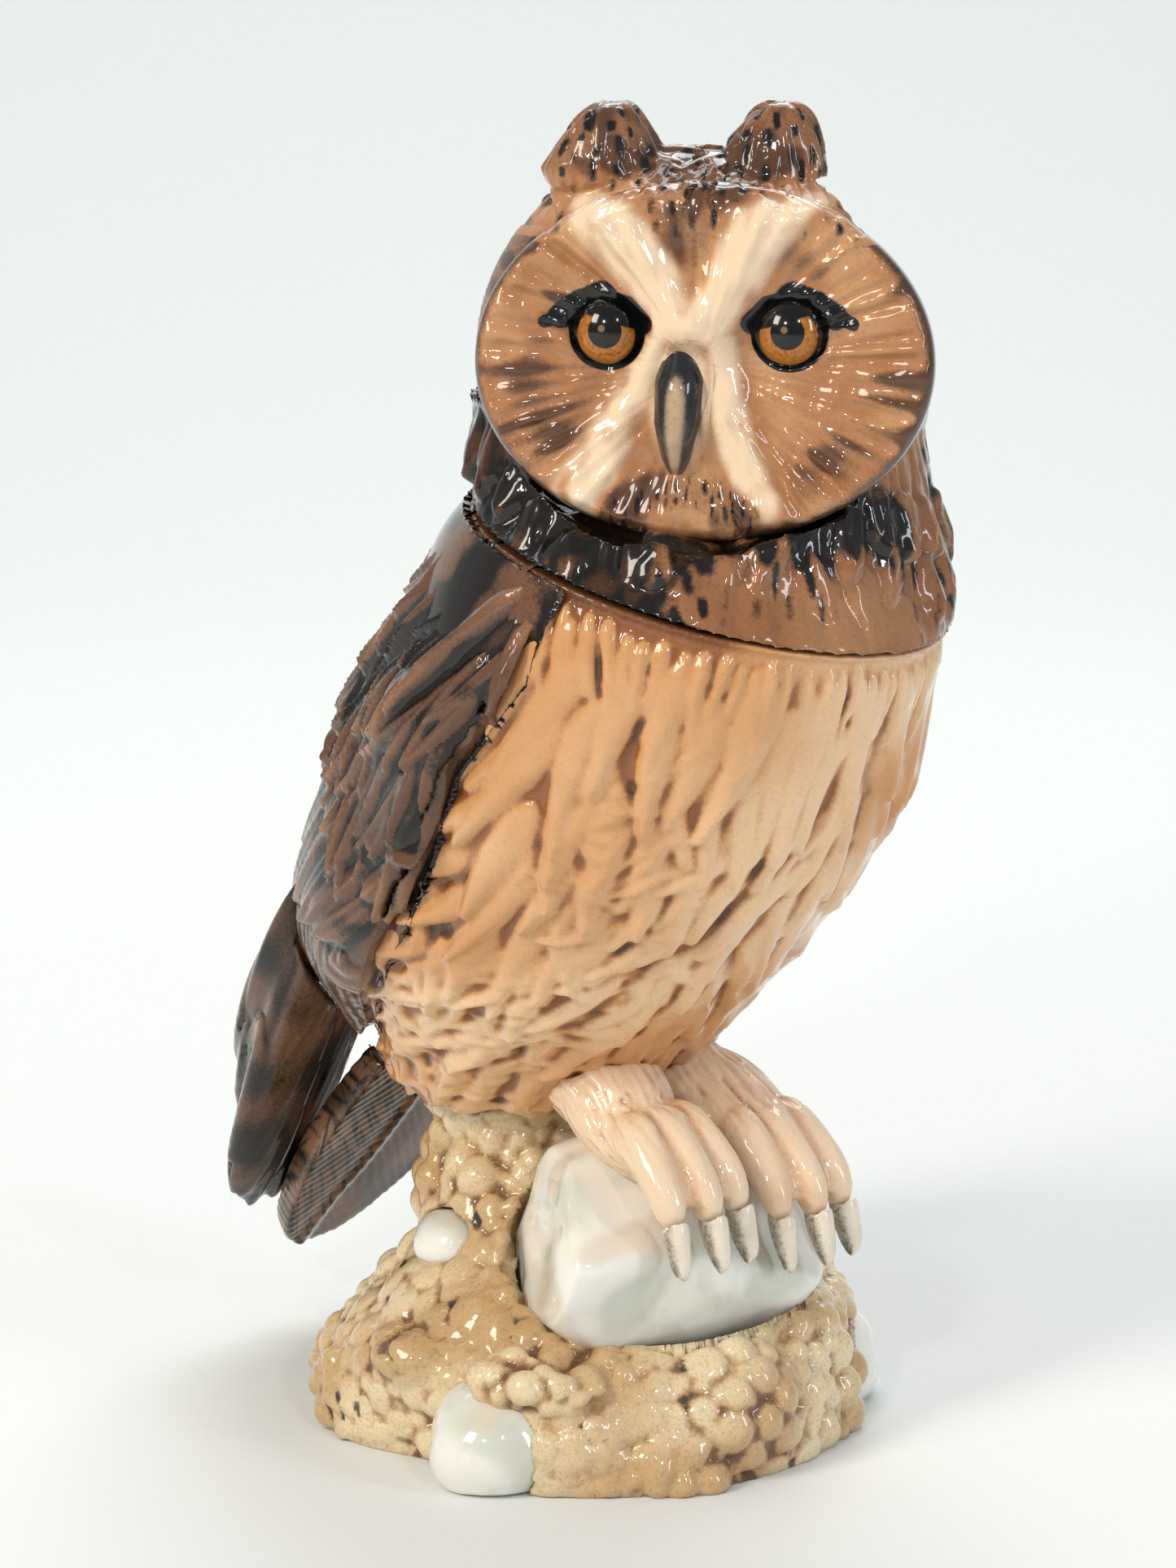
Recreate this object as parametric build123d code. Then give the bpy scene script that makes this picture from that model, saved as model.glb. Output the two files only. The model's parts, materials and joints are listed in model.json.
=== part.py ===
from build123d import *
import math
import os

# Ceramic owl: a hollow slip-cast bird on a rock, whose head is the stopper of the body.
# Millimetres, +Z up. The origin is the centre of the foot rim, on the table. The face looks
# along -Y, and the body is turned BODY_TURN to the bird's left of that. Shapes of the body
# are drawn in the bird's own frame, forward along -Y and its left side along +X, then turned.

# Driving dimensions
TOP = 170.0  # ear tips above the table
WALL = 4.0  # thickness of the slip-cast wall
LUTE = 0.1  # slip joint between two castings
SEAM_GAP = 0.25  # between the lift-off head and the body
BODY_TURN = 42.0  # how far the body faces away from the face
FACE_YAW = -9.0  # the face looks a little to the bird's right of -Y

# The lift-off head
HEAD_CENTRE = Vector(13.8, -10, 139.5)
HEAD_RADII = (28.2, 28.0, 27.5)
FACE_ORIGIN = Vector(17.2, -10, 139.7)  # what the face's own measures are taken from
DISC_BACK = -20.5  # the flat back of the facial disc, from the head's centre
DISC_RISE = 0.5  # the disc's middle above FACE_ORIGIN
DISC_WIDTH = 54.0
DISC_HEIGHT = 42.0
DISC_THICKNESS = 6.0
DISC_ROUNDING = 2.2
EYE_SPACING = 24.0
EYE_RADIUS = 7.0
EYE_RISE = 2.8
EYE_MIDDLE = -22.0  # the eyeball's centre, from the face's origin along its depth
BEAK_OFFSET = -1.5  # the beak sits a little to the bird's right in the face
BEAK_ROOT = (-26.8, 3.0)  # depth and height of its two ends
BEAK_TIP = (-31.0, -12.0)
TUFT_ROOT = (-9.0, 20.0)  # behind and above the head's centre
TUFT_SPACING = 19.0
TUFT_RADII = (8.0, 4.4)  # at the root and at the tip
NECK_LEAN = 17.0  # the neck's axis leans this far from upright
NECK_LEAN_TOWARDS = 58.0  # and towards this side of the way the face looks
SEAM_BELOW_HEAD = 22.6  # along the neck's axis
NECK_BORE_RADIUS = 9.0
NECK_BORE_LENGTH = 13.0
NECK_WALL = 3.0
CORK_LENGTH = 11.0
CORK_CLEARANCE = 0.05
SPIGOT_LENGTH = CORK_LENGTH + 1.5
SPIGOT_RADIUS = 5.5
VENT_RADIUS = 2.0

# The body: height, how far forward its centre is, half its depth, half its width, and how
# much of the wings' thickness lies on it
BODY_RINGS = [
    (41.0, -11.0, 12.0, 12.5, 1.0),
    (48.0, -10.0, 21.0, 19.5, 1.0),
    (56.0, -7.0, 26.5, 25.0, 1.2),
    (65.0, -3.5, 31.5, 30.5, 1.2),
    (76.0, 2.5, 35.0, 33.5, 1.0),
    (88.0, 8.5, 36.0, 34.5, 1.0),
    (100.0, 14.5, 34.5, 33.5, 1.0),
    (112.0, 18.0, 33.0, 32.0, 0.5),
    (120.0, 18.3, 29.0, 28.6, 0.5),
    (128.0, 18.5, 24.0, 24.0, 0.3),
]
WING_THICKNESS = 4.0
TAIL_SWING = 10.0  # how far the tail's tip swings to the bird's right

# The ground
FOOT_RADIUS = 35.0
MOUND_HEIGHT = 41.0
FOOT_LEFT = {1: 13.0, -1: -5.5}  # how far each foot stands to the bird's left
HIP_HEIGHT = {1: 46.0, -1: 50.0}
LEG_RADII = {1: (7.2, 5.2), -1: (8.5, 6.0)}  # at the hip and at the ankle
FOOT_STEP = 1.5  # the boulder is lower under the left foot by twice this
TOE_SPREAD = (-1, 0, 1)
CLAW_SPACING = 5.5
STONES = {  # centre, radii and turn of each pebble that shows through the mound's side
    "front_stone": ((-12.0, -26.5, 5.0), (8.5, 8.5, 8.0), -8),
    "rear_stone": ((31.5, 6.0, 5.0), (7.5, 9.5, 7.5), 0),
    "side_stone": ((-18.0, -3.0, 23.5), (4.5, 5.5, 4.5), 30),
}
HUGE = 400.0  # side of a block that stands for half of space


def lean_axis(lean, towards):
    """Unit vector that leans from upright towards a side, both in degrees; 0 is -Y and 90 is +X."""
    lean, towards = math.radians(lean), math.radians(towards)
    return Vector(
        math.sin(lean) * math.sin(towards),
        -math.sin(lean) * math.cos(towards),
        math.cos(lean),
    )


NECK_AXIS = lean_axis(NECK_LEAN, NECK_LEAN_TOWARDS)
SEAM_CENTRE = HEAD_CENTRE - NECK_AXIS * SEAM_BELOW_HEAD
SEAM = Plane(origin=SEAM_CENTRE, z_dir=NECK_AXIS)


def turned(shape):
    """From the bird's own frame to the part's."""
    return Rot(0, 0, BODY_TURN) * shape


def bird(forward, left, up):
    """A point of the bird's own frame, in the part's frame."""
    turn = math.radians(BODY_TURN)
    x, y = left, -forward
    return Vector(
        x * math.cos(turn) - y * math.sin(turn),
        x * math.sin(turn) + y * math.cos(turn),
        up,
    )


def ellipsoid(centre, radii, rotation=(0, 0, 0), grow=0.0):
    """Ball of three radii, each grown by grow, turned and then moved to its centre."""
    ball = scale(Sphere(1), by=tuple(r + grow for r in radii))
    return Pos(*centre) * Rot(*rotation) * ball


def half_space(plane, above):
    """A block that fills one side of a plane."""
    return plane * Pos(0, 0, HUGE / 2 if above else -HUGE / 2) * Box(HUGE, HUGE, HUGE)


def limb(points, radii, flat=1.0, grow=0.0):
    """Loft of ellipses through points; flat is their thickness as a share of their width."""
    sideways = bird(0, 1, 0)
    rings = []
    for number, (point, radius) in enumerate(zip(points, radii)):
        along = points[min(number + 1, len(points) - 1)] - points[max(number - 1, 0)]
        plane = Plane(origin=point, x_dir=sideways, z_dir=along)
        rings.append(plane * Ellipse(radius + grow, radius * flat + grow))
    return loft(rings)


def drop(start, end, start_radius, end_radius, flat=1.0, grow=0.0):
    """Straight limb with softened ends."""
    shares = (0, 0.15, 0.5, 0.85, 1)
    softness = (0.6, 0.92, 1.0, 0.92, 0.5)
    points = [start + (end - start) * share for share in shares]
    radii = [
        (start_radius + (end_radius - start_radius) * share) * soft
        for share, soft in zip(shares, softness)
    ]
    return limb(points, radii, flat, grow)


# --- the body ---------------------------------------------------------------------------


def body_form(grow=0.0, wings=0.0):
    """The bird's trunk as a stack of ellipses, grown evenly or by the thickness of the wings."""
    rings = []
    for number, (up, forward, depth, width, share) in enumerate(BODY_RINGS):
        level = up - grow if number == 0 else up
        more = grow + wings * share
        rings.append(Pos(0, -forward, level) * Ellipse(width + more, depth + more))
    return turned(loft(rings))


def make_body_shell():
    """The body's casting: a cup as thick as the wall all round, open at the seam."""
    return body_form() - body_form(-WALL) - half_space(SEAM, above=True)


def neck(radius, length):
    """Cylinder on the neck's axis, from the seam down."""
    return SEAM * Pos(0, 0, -length / 2) * Cylinder(radius, length)


def make_neck_collar():
    """The deck that closes the body at the seam, with the bored neck that hangs from it."""
    deck = body_form(-WALL - LUTE) - half_space(SEAM, above=True)
    deck = deck - half_space(SEAM.offset(-WALL), above=False)
    tube = neck(NECK_BORE_RADIUS + NECK_WALL, NECK_BORE_LENGTH)
    return deck + tube - neck(NECK_BORE_RADIUS, NECK_BORE_LENGTH * 2)


def wing_outline(side):
    """Block that cuts one folded wing out of the layer round the trunk; side is 1 or -1."""
    points = [
        (30.0, 118.0),
        (25.0, 103.0),
        (15.0, 91.0),
        (10.0, 80.0),
        (3.0, 70.0),
        (-9.0, 58.0),
        (-18.0, 50.0),
        (-34.0, 46.0),
        (-46.0, 60.0),
        (-40.0, 90.0),
        (-22.0, 126.0),
        (0.0, 128.0),
    ]
    # Plane.YZ draws -forward to the right and up upwards.
    outline = make_face(Polyline(*[(-f, z) for f, z in points], close=True))
    block = extrude(Plane.YZ * outline, amount=60.0)
    if side < 0:
        block = mirror(block, about=Plane.YZ)
    mid_back = Pos(0, 30, 90) * Box(2, 90, 120)
    return turned(block - mid_back)


def make_wing(side):
    """One folded wing: the layer that lies on the trunk, as far as the seam."""
    layer = body_form(wings=WING_THICKNESS) - body_form(LUTE)
    layer = layer - half_space(SEAM.offset(-SEAM_GAP), above=True)
    return layer & wing_outline(side)


def primaries_form(side, grow=0.0):
    """The long wing tip that lies beside the tail, flat against it."""
    root, tip = bird(-25.5, side * 19.5, 65), bird(-54, side * 13, 19)
    return drop(root, tip, 10.0, 6.5, flat=0.4, grow=grow)


def make_primaries(side):
    return primaries_form(side) - body_form(LUTE, WING_THICKNESS) - tail_form(LUTE)


def tail_form(grow=0.0):
    """The tail: a long oval plate, sloping down behind the trunk."""
    plate = extrude(Ellipse(13 + grow, 28 + grow), amount=(4.5 + 2 * grow) / 2, both=True)
    # The plate leans so that its lower end stands further back, and swings to the bird's right.
    return turned(Pos(0, 37, 35) * Rot(37, 0, 0) * Rot(90, 0, 0) * Rot(0, 0, -TAIL_SWING) * plate)


def make_tail():
    return tail_form() - body_form(LUTE, WING_THICKNESS) - mound_form(LUTE)


# --- the feet and what they stand on -------------------------------------------------------


def rock_form(grow=0.0):
    """The pale boulder under the feet, long across the bird and tipped to its left."""
    return turned(ellipsoid((1.0, -13.0, 25.2), (24.5, 17.0, 13.8), (8, 10, 0), grow))


def rock_vent():
    """Hole from the boulder's hollow into the mound's."""
    return turned(Pos(0, -11, 10) * Cylinder(5.0, 24))


def make_rock():
    return rock_form() - rock_form(-WALL) - rock_vent()


def leg_form(side, grow=0.0):
    """One feathered shank, from the belly to the top of the boulder."""
    hip = bird(2, FOOT_LEFT[side] - side * 2, HIP_HEIGHT[side])
    ankle = bird(17, FOOT_LEFT[side], 40 - side * FOOT_STEP)
    return drop(hip, ankle, *LEG_RADII[side], flat=0.85, grow=grow)


def toe_form(side, spread, grow=0.0):
    """One toe, from the ankle forward over the boulder's brow."""
    left = FOOT_LEFT[side]
    step = -side * FOOT_STEP
    points = [
        bird(16.0, left + spread * 2.6, 41.5 + step),
        bird(19.0, left + spread * 3.4, 41.5 + step),
        bird(25.0 - abs(spread), left + spread * 5.0, 38.5 + step),
        bird(28.2 - abs(spread), left + spread * 5.4, 34.0 + step),
        bird(28.8 - abs(spread), left + spread * 5.5, 31.5 + step),
    ]
    return limb(points, (2.0, 3.2, 2.9, 2.6, 1.4), grow=grow)


def make_leg(side):
    return leg_form(side) - body_form(LUTE) - rock_form(LUTE)


def make_toes(side):
    """The three toes as one piece, cut back where the boulder and the shank are."""
    joined = Part() + [toe_form(side, spread) for spread in TOE_SPREAD]
    cut = joined - rock_form(LUTE) - leg_form(side, LUTE)
    return max(cut.solids(), key=lambda s: s.volume)


def make_claws(side):
    """One claw in front of each toe, hooked down over the boulder."""
    claws = []
    for spread in TOE_SPREAD:
        left = FOOT_LEFT[side] + spread * CLAW_SPACING
        root = bird(28.9 - abs(spread), left, 33.5 - side * FOOT_STEP)
        tip = bird(31.1 - abs(spread), left + spread * 0.4, 26.0 - side * FOOT_STEP)
        claw = drop(root, tip, 2.0, 1.2) - toe_form(side, spread, LUTE)
        if spread == 0:
            claw = claw - toe_form(side, -1, LUTE) - toe_form(side, 1, LUTE)
        claw = claw - rock_form(LUTE)
        claws.append(max(claw.solids(), key=lambda s: s.volume))
    return Compound(children=claws)


def mound_form(grow=0.0):
    """Sandy mound with bulging sides that rises behind the boulder to the trunk."""
    rings = [
        (0.0, 0.0, 0.0, FOOT_RADIUS, 33.0),
        (6.0, -0.5, 0.5, FOOT_RADIUS + 1.0, 34.0),
        (13.0, 1.5, 1.0, 33.5, 31.0),
        (20.0, 2.5, 3.0, 27.5, 25.0),
        (26.0, -3.0, 6.5, 19.5, 18.5),
        (32.0, -8.5, 8.5, 12.8, 13.0),
        (MOUND_HEIGHT, -9.5, 8.0, 11.0, 11.0),
    ]
    sections = [
        Pos(x, y, up + (grow if up == MOUND_HEIGHT else 0)) * Ellipse(a + grow, b + grow)
        for up, x, y, a, b in rings
    ]
    return loft(sections)


def stone_form(name, grow=0.0):
    """A smooth pebble that shows through the mound's side."""
    centre, radii, turn = STONES[name]
    floor = half_space(Plane.XY, above=False)
    return ellipsoid(centre, radii, (0, 0, turn), grow) - floor


def make_mound():
    """The mound's casting: open below, with room for the pebbles, the boulder and the trunk."""
    inner = scale(mound_form(-WALL), by=(1, 1, (MOUND_HEIGHT - WALL) / MOUND_HEIGHT))
    mound = mound_form() - inner - rock_vent()
    for neighbour in (body_form(LUTE), rock_form(LUTE), *(stone_form(s, LUTE) for s in STONES)):
        mound = mound - neighbour
    return max(mound.solids(), key=lambda s: s.volume)


# --- the head ------------------------------------------------------------------------------


def head_form(grow=0.0):
    return ellipsoid(HEAD_CENTRE, HEAD_RADII, grow=grow)


def face(shape):
    """From the face's own frame, with its front along -Y, to the part's."""
    return Pos(*FACE_ORIGIN) * Rot(0, 0, FACE_YAW) * shape


def disc_form(grow=0.0):
    """The facial disc: a wide oval plate with a rounded rim, across the front of the head."""
    plate = extrude(Ellipse(DISC_WIDTH / 2, DISC_HEIGHT / 2), amount=DISC_THICKNESS)
    plate = fillet(plate.edges(), DISC_ROUNDING)
    plate = Pos(0, DISC_BACK, DISC_RISE) * Rot(90, 0, 0) * plate
    return face(plate) if grow == 0 else face(scale_about(plate, grow))


def scale_about(shape, grow):
    """The shape grown by grow on every side, about its own middle."""
    box = shape.bounding_box()
    middle = box.center()
    by = tuple((s + 2 * grow) / s for s in box.size)
    return Pos(*middle) * scale(Pos(*-middle) * shape, by=by)


def eye_form(side, grow=0.0):
    """Domed eye, flat behind; side is 1 for the bird's left eye."""
    ball = Pos(side * EYE_SPACING / 2, EYE_MIDDLE, EYE_RISE) * Sphere(EYE_RADIUS + grow)
    behind = Pos(0, DISC_BACK + grow + 20, 0) * Box(80, 40, 80)
    return face(ball - behind)


def beak_form(grow=0.0):
    """Narrow hooked beak that hangs in the middle of the face."""
    root, tip = Vector(BEAK_OFFSET, *BEAK_ROOT), Vector(BEAK_OFFSET, *BEAK_TIP)
    return face(drop(root, tip, 3.2, 2.0, flat=1.15, grow=grow))


def make_head_shell():
    """Hollow head with a deck at the seam and a hollow spigot that carries the cork."""
    floor_plane = SEAM.offset(SEAM_GAP)
    below = half_space(floor_plane, above=False)
    hollow = head_form(-WALL) - half_space(floor_plane.offset(WALL), above=False)
    hollow = hollow - face(Pos(0, DISC_BACK + WALL - 20, 0) * Box(80, 40, 80))
    spigot = floor_plane * Pos(0, 0, -SPIGOT_LENGTH / 2) * Cylinder(SPIGOT_RADIUS, SPIGOT_LENGTH)
    vent = floor_plane * Pos(0, 0, -SPIGOT_LENGTH) * Cylinder(VENT_RADIUS, 60)
    shell = head_form() - below - hollow + spigot
    for neighbour in (vent, disc_form(LUTE), beak_form(LUTE)):
        shell = shell - neighbour
    return max(shell.solids(), key=lambda s: s.volume)


def make_disc():
    disc = disc_form()
    for neighbour in (eye_form(1, LUTE), eye_form(-1, LUTE), beak_form(LUTE)):
        disc = disc - neighbour
    return disc


def make_tuft(side):
    """One ear tuft, which stands on the forehead and leans a little outwards."""
    root = HEAD_CENTRE + Vector(-1 + side * TUFT_SPACING / 2, *TUFT_ROOT)
    tip = Vector(root.X + side, root.Y, TOP)
    return drop(root, tip, *TUFT_RADII, flat=0.8) - head_form(LUTE) - disc_form(LUTE)


def seam_outline():
    """Centre and half sizes of the trunk's outline in the seam's own plane."""
    outline = body_form() & (SEAM * Rectangle(200, 200))
    box = SEAM.to_local_coords(outline).bounding_box()
    return box.center(), box.size.X / 2, box.size.Y / 2


# The ruff's upper rings: lean, centre and radius
RUFF_RINGS = [
    (9.0, (14.6, -11.3, 122.0), 29.4),
    (3.5, (13.8, -10.4, 129.0), 28.6),
    (0.0, (13.8, -10.0, 137.0), 27.4),
]


def make_ruff():
    """Thick collar of feathers that hides the seam, cut away below the facial disc."""
    centre, half_x, half_y = seam_outline()
    base = SEAM.offset(SEAM_GAP) * Pos(centre.X, centre.Y, 0) * Ellipse(half_x, half_y)
    sections = [base]
    for lean, middle, radius in RUFF_RINGS:
        plane = Plane(origin=middle, x_dir=SEAM.x_dir, z_dir=lean_axis(lean, NECK_LEAN_TOWARDS))
        sections.append(plane * Circle(radius))
    before_face = extrude(Ellipse(DISC_WIDTH / 2 + LUTE, DISC_HEIGHT / 2 + LUTE), amount=40.0)
    before_face = face(Pos(0, DISC_BACK + LUTE, DISC_RISE) * Rot(90, 0, 0) * before_face)
    ruff = loft(sections) - head_form(LUTE) - before_face
    return max(ruff.solids(), key=lambda s: s.volume)


def make_cork():
    """Cork sleeve on the spigot, a running fit in the neck's bore."""
    outer = Cylinder(NECK_BORE_RADIUS - CORK_CLEARANCE, CORK_LENGTH)
    sleeve = outer - Cylinder(SPIGOT_RADIUS + LUTE, CORK_LENGTH)
    return SEAM.offset(SEAM_GAP) * Pos(0, 0, -CORK_LENGTH / 2 - LUTE) * sleeve


# --- writing -------------------------------------------------------------------------------


def make_all():
    """Every piece, by the name of its node."""
    pieces = {
        "body_shell": make_body_shell(),
        "neck_collar": make_neck_collar(),
        "tail": make_tail(),
        "perch_rock": make_rock(),
        "base_mound": make_mound(),
        "head_shell": make_head_shell(),
        "facial_disc": make_disc(),
        "beak": beak_form(),
        "neck_ruff": make_ruff(),
        "cork_sleeve": make_cork(),
    }
    for stone in STONES:
        pieces[stone] = stone_form(stone) - rock_form(LUTE)
    for word, side in (("left", 1), ("right", -1)):
        pieces[f"{word}_wing"] = make_wing(side)
        pieces[f"{word}_primaries"] = make_primaries(side)
        pieces[f"{word}_leg"] = make_leg(side)
        pieces[f"{word}_toes"] = make_toes(side)
        pieces[f"{word}_claws"] = make_claws(side)
        pieces[f"{word}_eye"] = eye_form(side)
        pieces[f"{word}_ear_tuft"] = make_tuft(side)
    return pieces


def main():
    os.makedirs("parts", exist_ok=True)
    for name, shape in make_all().items():
        export_step(shape, f"parts/{name}.step")
    print("neck axis", NECK_AXIS, "seam centre", SEAM_CENTRE)


main()
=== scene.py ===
"""Glazed ceramic owl on a rocky mound, modelled as potter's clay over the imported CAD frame.

Each piece starts as a copy of its CAD nodes, is made into even clay by a voxel remesh, and is
then modelled by laying feathers, pebbles and ridges on it. The same strokes leave the masks
from which its underglaze paint is mixed. Measures are millimetres unless a name says metres.
"""

import json
import math

import bmesh
import bpy
import numpy as np
from bpy.props import FloatProperty, FloatVectorProperty, PointerProperty, StringProperty
from mathutils import Matrix, Vector
from mathutils.kdtree import KDTree


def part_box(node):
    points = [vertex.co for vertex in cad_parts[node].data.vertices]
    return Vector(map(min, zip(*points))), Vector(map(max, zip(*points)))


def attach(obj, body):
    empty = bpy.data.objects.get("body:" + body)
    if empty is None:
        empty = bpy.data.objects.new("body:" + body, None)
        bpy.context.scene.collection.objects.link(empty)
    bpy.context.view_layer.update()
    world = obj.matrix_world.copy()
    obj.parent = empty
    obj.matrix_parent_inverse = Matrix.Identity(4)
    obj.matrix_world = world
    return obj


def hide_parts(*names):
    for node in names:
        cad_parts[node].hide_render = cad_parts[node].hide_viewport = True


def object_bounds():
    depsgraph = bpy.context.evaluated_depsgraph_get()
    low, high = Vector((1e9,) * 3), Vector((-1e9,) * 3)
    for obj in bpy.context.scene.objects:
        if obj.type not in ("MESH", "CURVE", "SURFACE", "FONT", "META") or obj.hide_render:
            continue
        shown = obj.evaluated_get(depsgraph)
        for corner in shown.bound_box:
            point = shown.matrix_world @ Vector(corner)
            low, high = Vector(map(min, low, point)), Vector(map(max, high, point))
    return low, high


bl_info = {
    "name": "Ceramic Owl",
    "version": (1, 0, 0),
    "blender": (4, 5, 0),
    "location": "View3D > Sidebar > Owl",
    "description": "Models and glazes a ceramic owl over its packed frame",
    "category": "Object",
}

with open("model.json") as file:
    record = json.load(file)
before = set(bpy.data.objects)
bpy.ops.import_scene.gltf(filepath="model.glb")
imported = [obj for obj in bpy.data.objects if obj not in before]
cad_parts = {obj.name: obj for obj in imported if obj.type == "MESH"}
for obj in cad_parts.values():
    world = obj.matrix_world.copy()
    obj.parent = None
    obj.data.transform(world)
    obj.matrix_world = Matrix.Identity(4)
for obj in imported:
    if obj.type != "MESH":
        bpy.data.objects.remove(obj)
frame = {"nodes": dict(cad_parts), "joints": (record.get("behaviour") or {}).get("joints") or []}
CAD_BOX = [list(corner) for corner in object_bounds()]
NODES = frame["nodes"]

MM = 0.001
BODY_TURN = math.radians(42.0)  # how far the body faces away from the face
FORWARD = np.array((math.sin(BODY_TURN), -math.cos(BODY_TURN), 0.0))
LEFT = np.array((math.cos(BODY_TURN), math.sin(BODY_TURN), 0.0))
UP = np.array((0.0, 0.0, 1.0))
TAILWARD = -0.627 * FORWARD - 0.779 * UP  # the way feathers lie on the trunk and wings
FACE_YAW = math.radians(-9.0)
FACE_FORWARD = np.array((math.sin(FACE_YAW), -math.cos(FACE_YAW), 0.0))
FACE_SIDE = np.array((math.cos(FACE_YAW), math.sin(FACE_YAW), 0.0))


def node_box(name):
    """A CAD node's lowest and highest corners, in millimetres."""
    low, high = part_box(name)
    return np.array(low) / MM, np.array(high) / MM


def node_middle(name):
    low, high = node_box(name)
    return (low + high) / 2


FACE_MIDDLE = node_middle("facial_disc")


# --- colours and materials ---------------------------------------------------------------


def linear(code):
    """sRGB hex to linear RGBA."""
    parts = [int(code[i : i + 2], 16) / 255 for i in (1, 3, 5)]
    return tuple(c / 12.92 if c <= 0.04045 else ((c + 0.055) / 1.055) ** 2.4 for c in parts) + (1.0,)


def add(tree, kind, sockets=None, **settings):
    """Adds a node; each socket takes a value or another node's output, and settings are its own."""
    made = tree.nodes.new(kind)
    for key, value in settings.items():
        setattr(made, key, value)
    for key, value in (sockets or {}).items():
        if isinstance(value, bpy.types.NodeSocket):
            tree.links.new(value, made.inputs[key])
        else:
            made.inputs[key].default_value = value
    return made.outputs


def per_mm(size):
    """Texture scale whose features are about a size in millimetres across."""
    return 1 / (size * MM)


def coats(tree, colour, *layers):
    """Lays coats of colour over a first one; each coat's mask fades it in from one level to another."""
    for mask, low, high, most, tone in layers:
        span = {0: mask, 1: low, 2: high, 4: most}
        share = add(tree, "ShaderNodeMapRange", span, interpolation_type="SMOOTHSTEP")[0]
        colour = add(tree, "ShaderNodeMix", {0: share, 6: colour, 7: tone}, data_type="RGBA")[2]
    return colour


def new_material(name):
    made = bpy.data.materials.new(name)
    made.use_nodes = True
    made.node_tree.nodes.clear()
    return made, made.node_tree


def glaze_over(material, colour, dent=0.02, rough=0.32):
    """Fired underglaze colour below a clear coat of glaze, the sharp wet gloss of glazed ware."""
    tree = material.node_tree
    place = add(tree, "ShaderNodeTexCoord")["Object"]
    ripple = add(
        tree,
        "ShaderNodeTexNoise",
        {"Vector": place, "Scale": per_mm(3.0), "Detail": 2.0},
    )["Fac"]
    bump = add(tree, "ShaderNodeBump", {"Strength": 0.35, "Distance": dent * MM, "Height": ripple})[0]
    shader = add(
        tree,
        "ShaderNodeBsdfPrincipled",
        {
            "Base Color": colour,
            "Roughness": rough,
            "IOR": 1.5,
            "Specular IOR Level": 0.12,
            "Normal": bump,
            "Coat Weight": 1.0,
            "Coat Roughness": 0.04,
            "Coat IOR": 1.45,
            "Coat Normal": bump,
        },
    )
    add(tree, "ShaderNodeOutputMaterial", {"Surface": shader[0]})
    return material


def feather_glaze(name, tones, speckle=0.35, cloud=9.0):
    """Glazed earthenware painted in four underglaze tones.

    The pale tone stays on the ridges, the warm one is airbrushed in clouds, the deep one settles
    in the grooves, and the dark one is brushed on in ragged dabs. Fine spray dots break them up.
    """
    pale, warm, deep, dark = tones
    material, tree = new_material(name)
    place = add(tree, "ShaderNodeTexCoord")["Object"]
    clouds = add(
        tree,
        "ShaderNodeTexNoise",
        {"Vector": place, "Scale": per_mm(cloud), "Detail": 3.0},
    )["Fac"]
    spray = {"Vector": place, "Scale": per_mm(0.5), "Detail": 4.0, "Roughness": 0.75}
    grain = add(tree, "ShaderNodeTexNoise", spray)["Fac"]
    shade = add(tree, "ShaderNodeAttribute", attribute_name="shade")["Fac"]
    dabs = add(tree, "ShaderNodeAttribute", attribute_name="dark")["Fac"]
    warmth = add(tree, "ShaderNodeAttribute", attribute_name="warm")["Fac"]
    warmth = add(tree, "ShaderNodeMath", {0: clouds, 1: 0.5, 2: warmth}, operation="MULTIPLY_ADD")[0]
    settled = add(tree, "ShaderNodeMath", {0: grain, 1: 0.3, 2: shade}, operation="MULTIPLY_ADD")[0]
    ragged = add(tree, "ShaderNodeMath", {0: grain, 1: 0.6, 2: dabs}, operation="MULTIPLY_ADD")[0]
    colour = coats(
        tree,
        pale,
        (warmth, 0.25, 1.1, 1.0, warm),
        (settled, 0.45, 0.85, 1.0, warm),
        (settled, 0.72, 1.1, 1.0, deep),
        (grain, 0.45, 0.75, speckle, deep),
        (ragged, 0.62, 1.05, 1.0, dark),
    )
    return glaze_over(material, colour)


# --- clay ----------------------------------------------------------------------------------


def select_only(obj):
    bpy.ops.object.select_all(action="DESELECT")
    obj.select_set(True)
    bpy.context.view_layer.objects.active = obj


def apply_modifier(obj, kind, **settings):
    modifier = obj.modifiers.new(kind.title(), kind)
    for key, value in settings.items():
        setattr(modifier, key, value)
    select_only(obj)
    bpy.ops.object.modifier_apply(modifier=modifier.name)


def copied(name, nodes):
    """One new object that holds merged copies of CAD nodes."""
    bpy.ops.object.select_all(action="DESELECT")
    for node in nodes:
        copy = bpy.data.objects.new(name, NODES[node].data.copy())
        bpy.context.scene.collection.objects.link(copy)
        copy.select_set(True)
        bpy.context.view_layer.objects.active = copy
    bpy.ops.object.join()
    obj = bpy.context.view_layer.objects.active
    obj.name = name
    obj.data.name = name
    bpy.ops.object.mode_set(mode="EDIT")
    bpy.ops.mesh.select_all(action="SELECT")
    bpy.ops.mesh.remove_doubles(threshold=1e-6)
    bpy.ops.object.mode_set(mode="OBJECT")
    return obj


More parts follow.
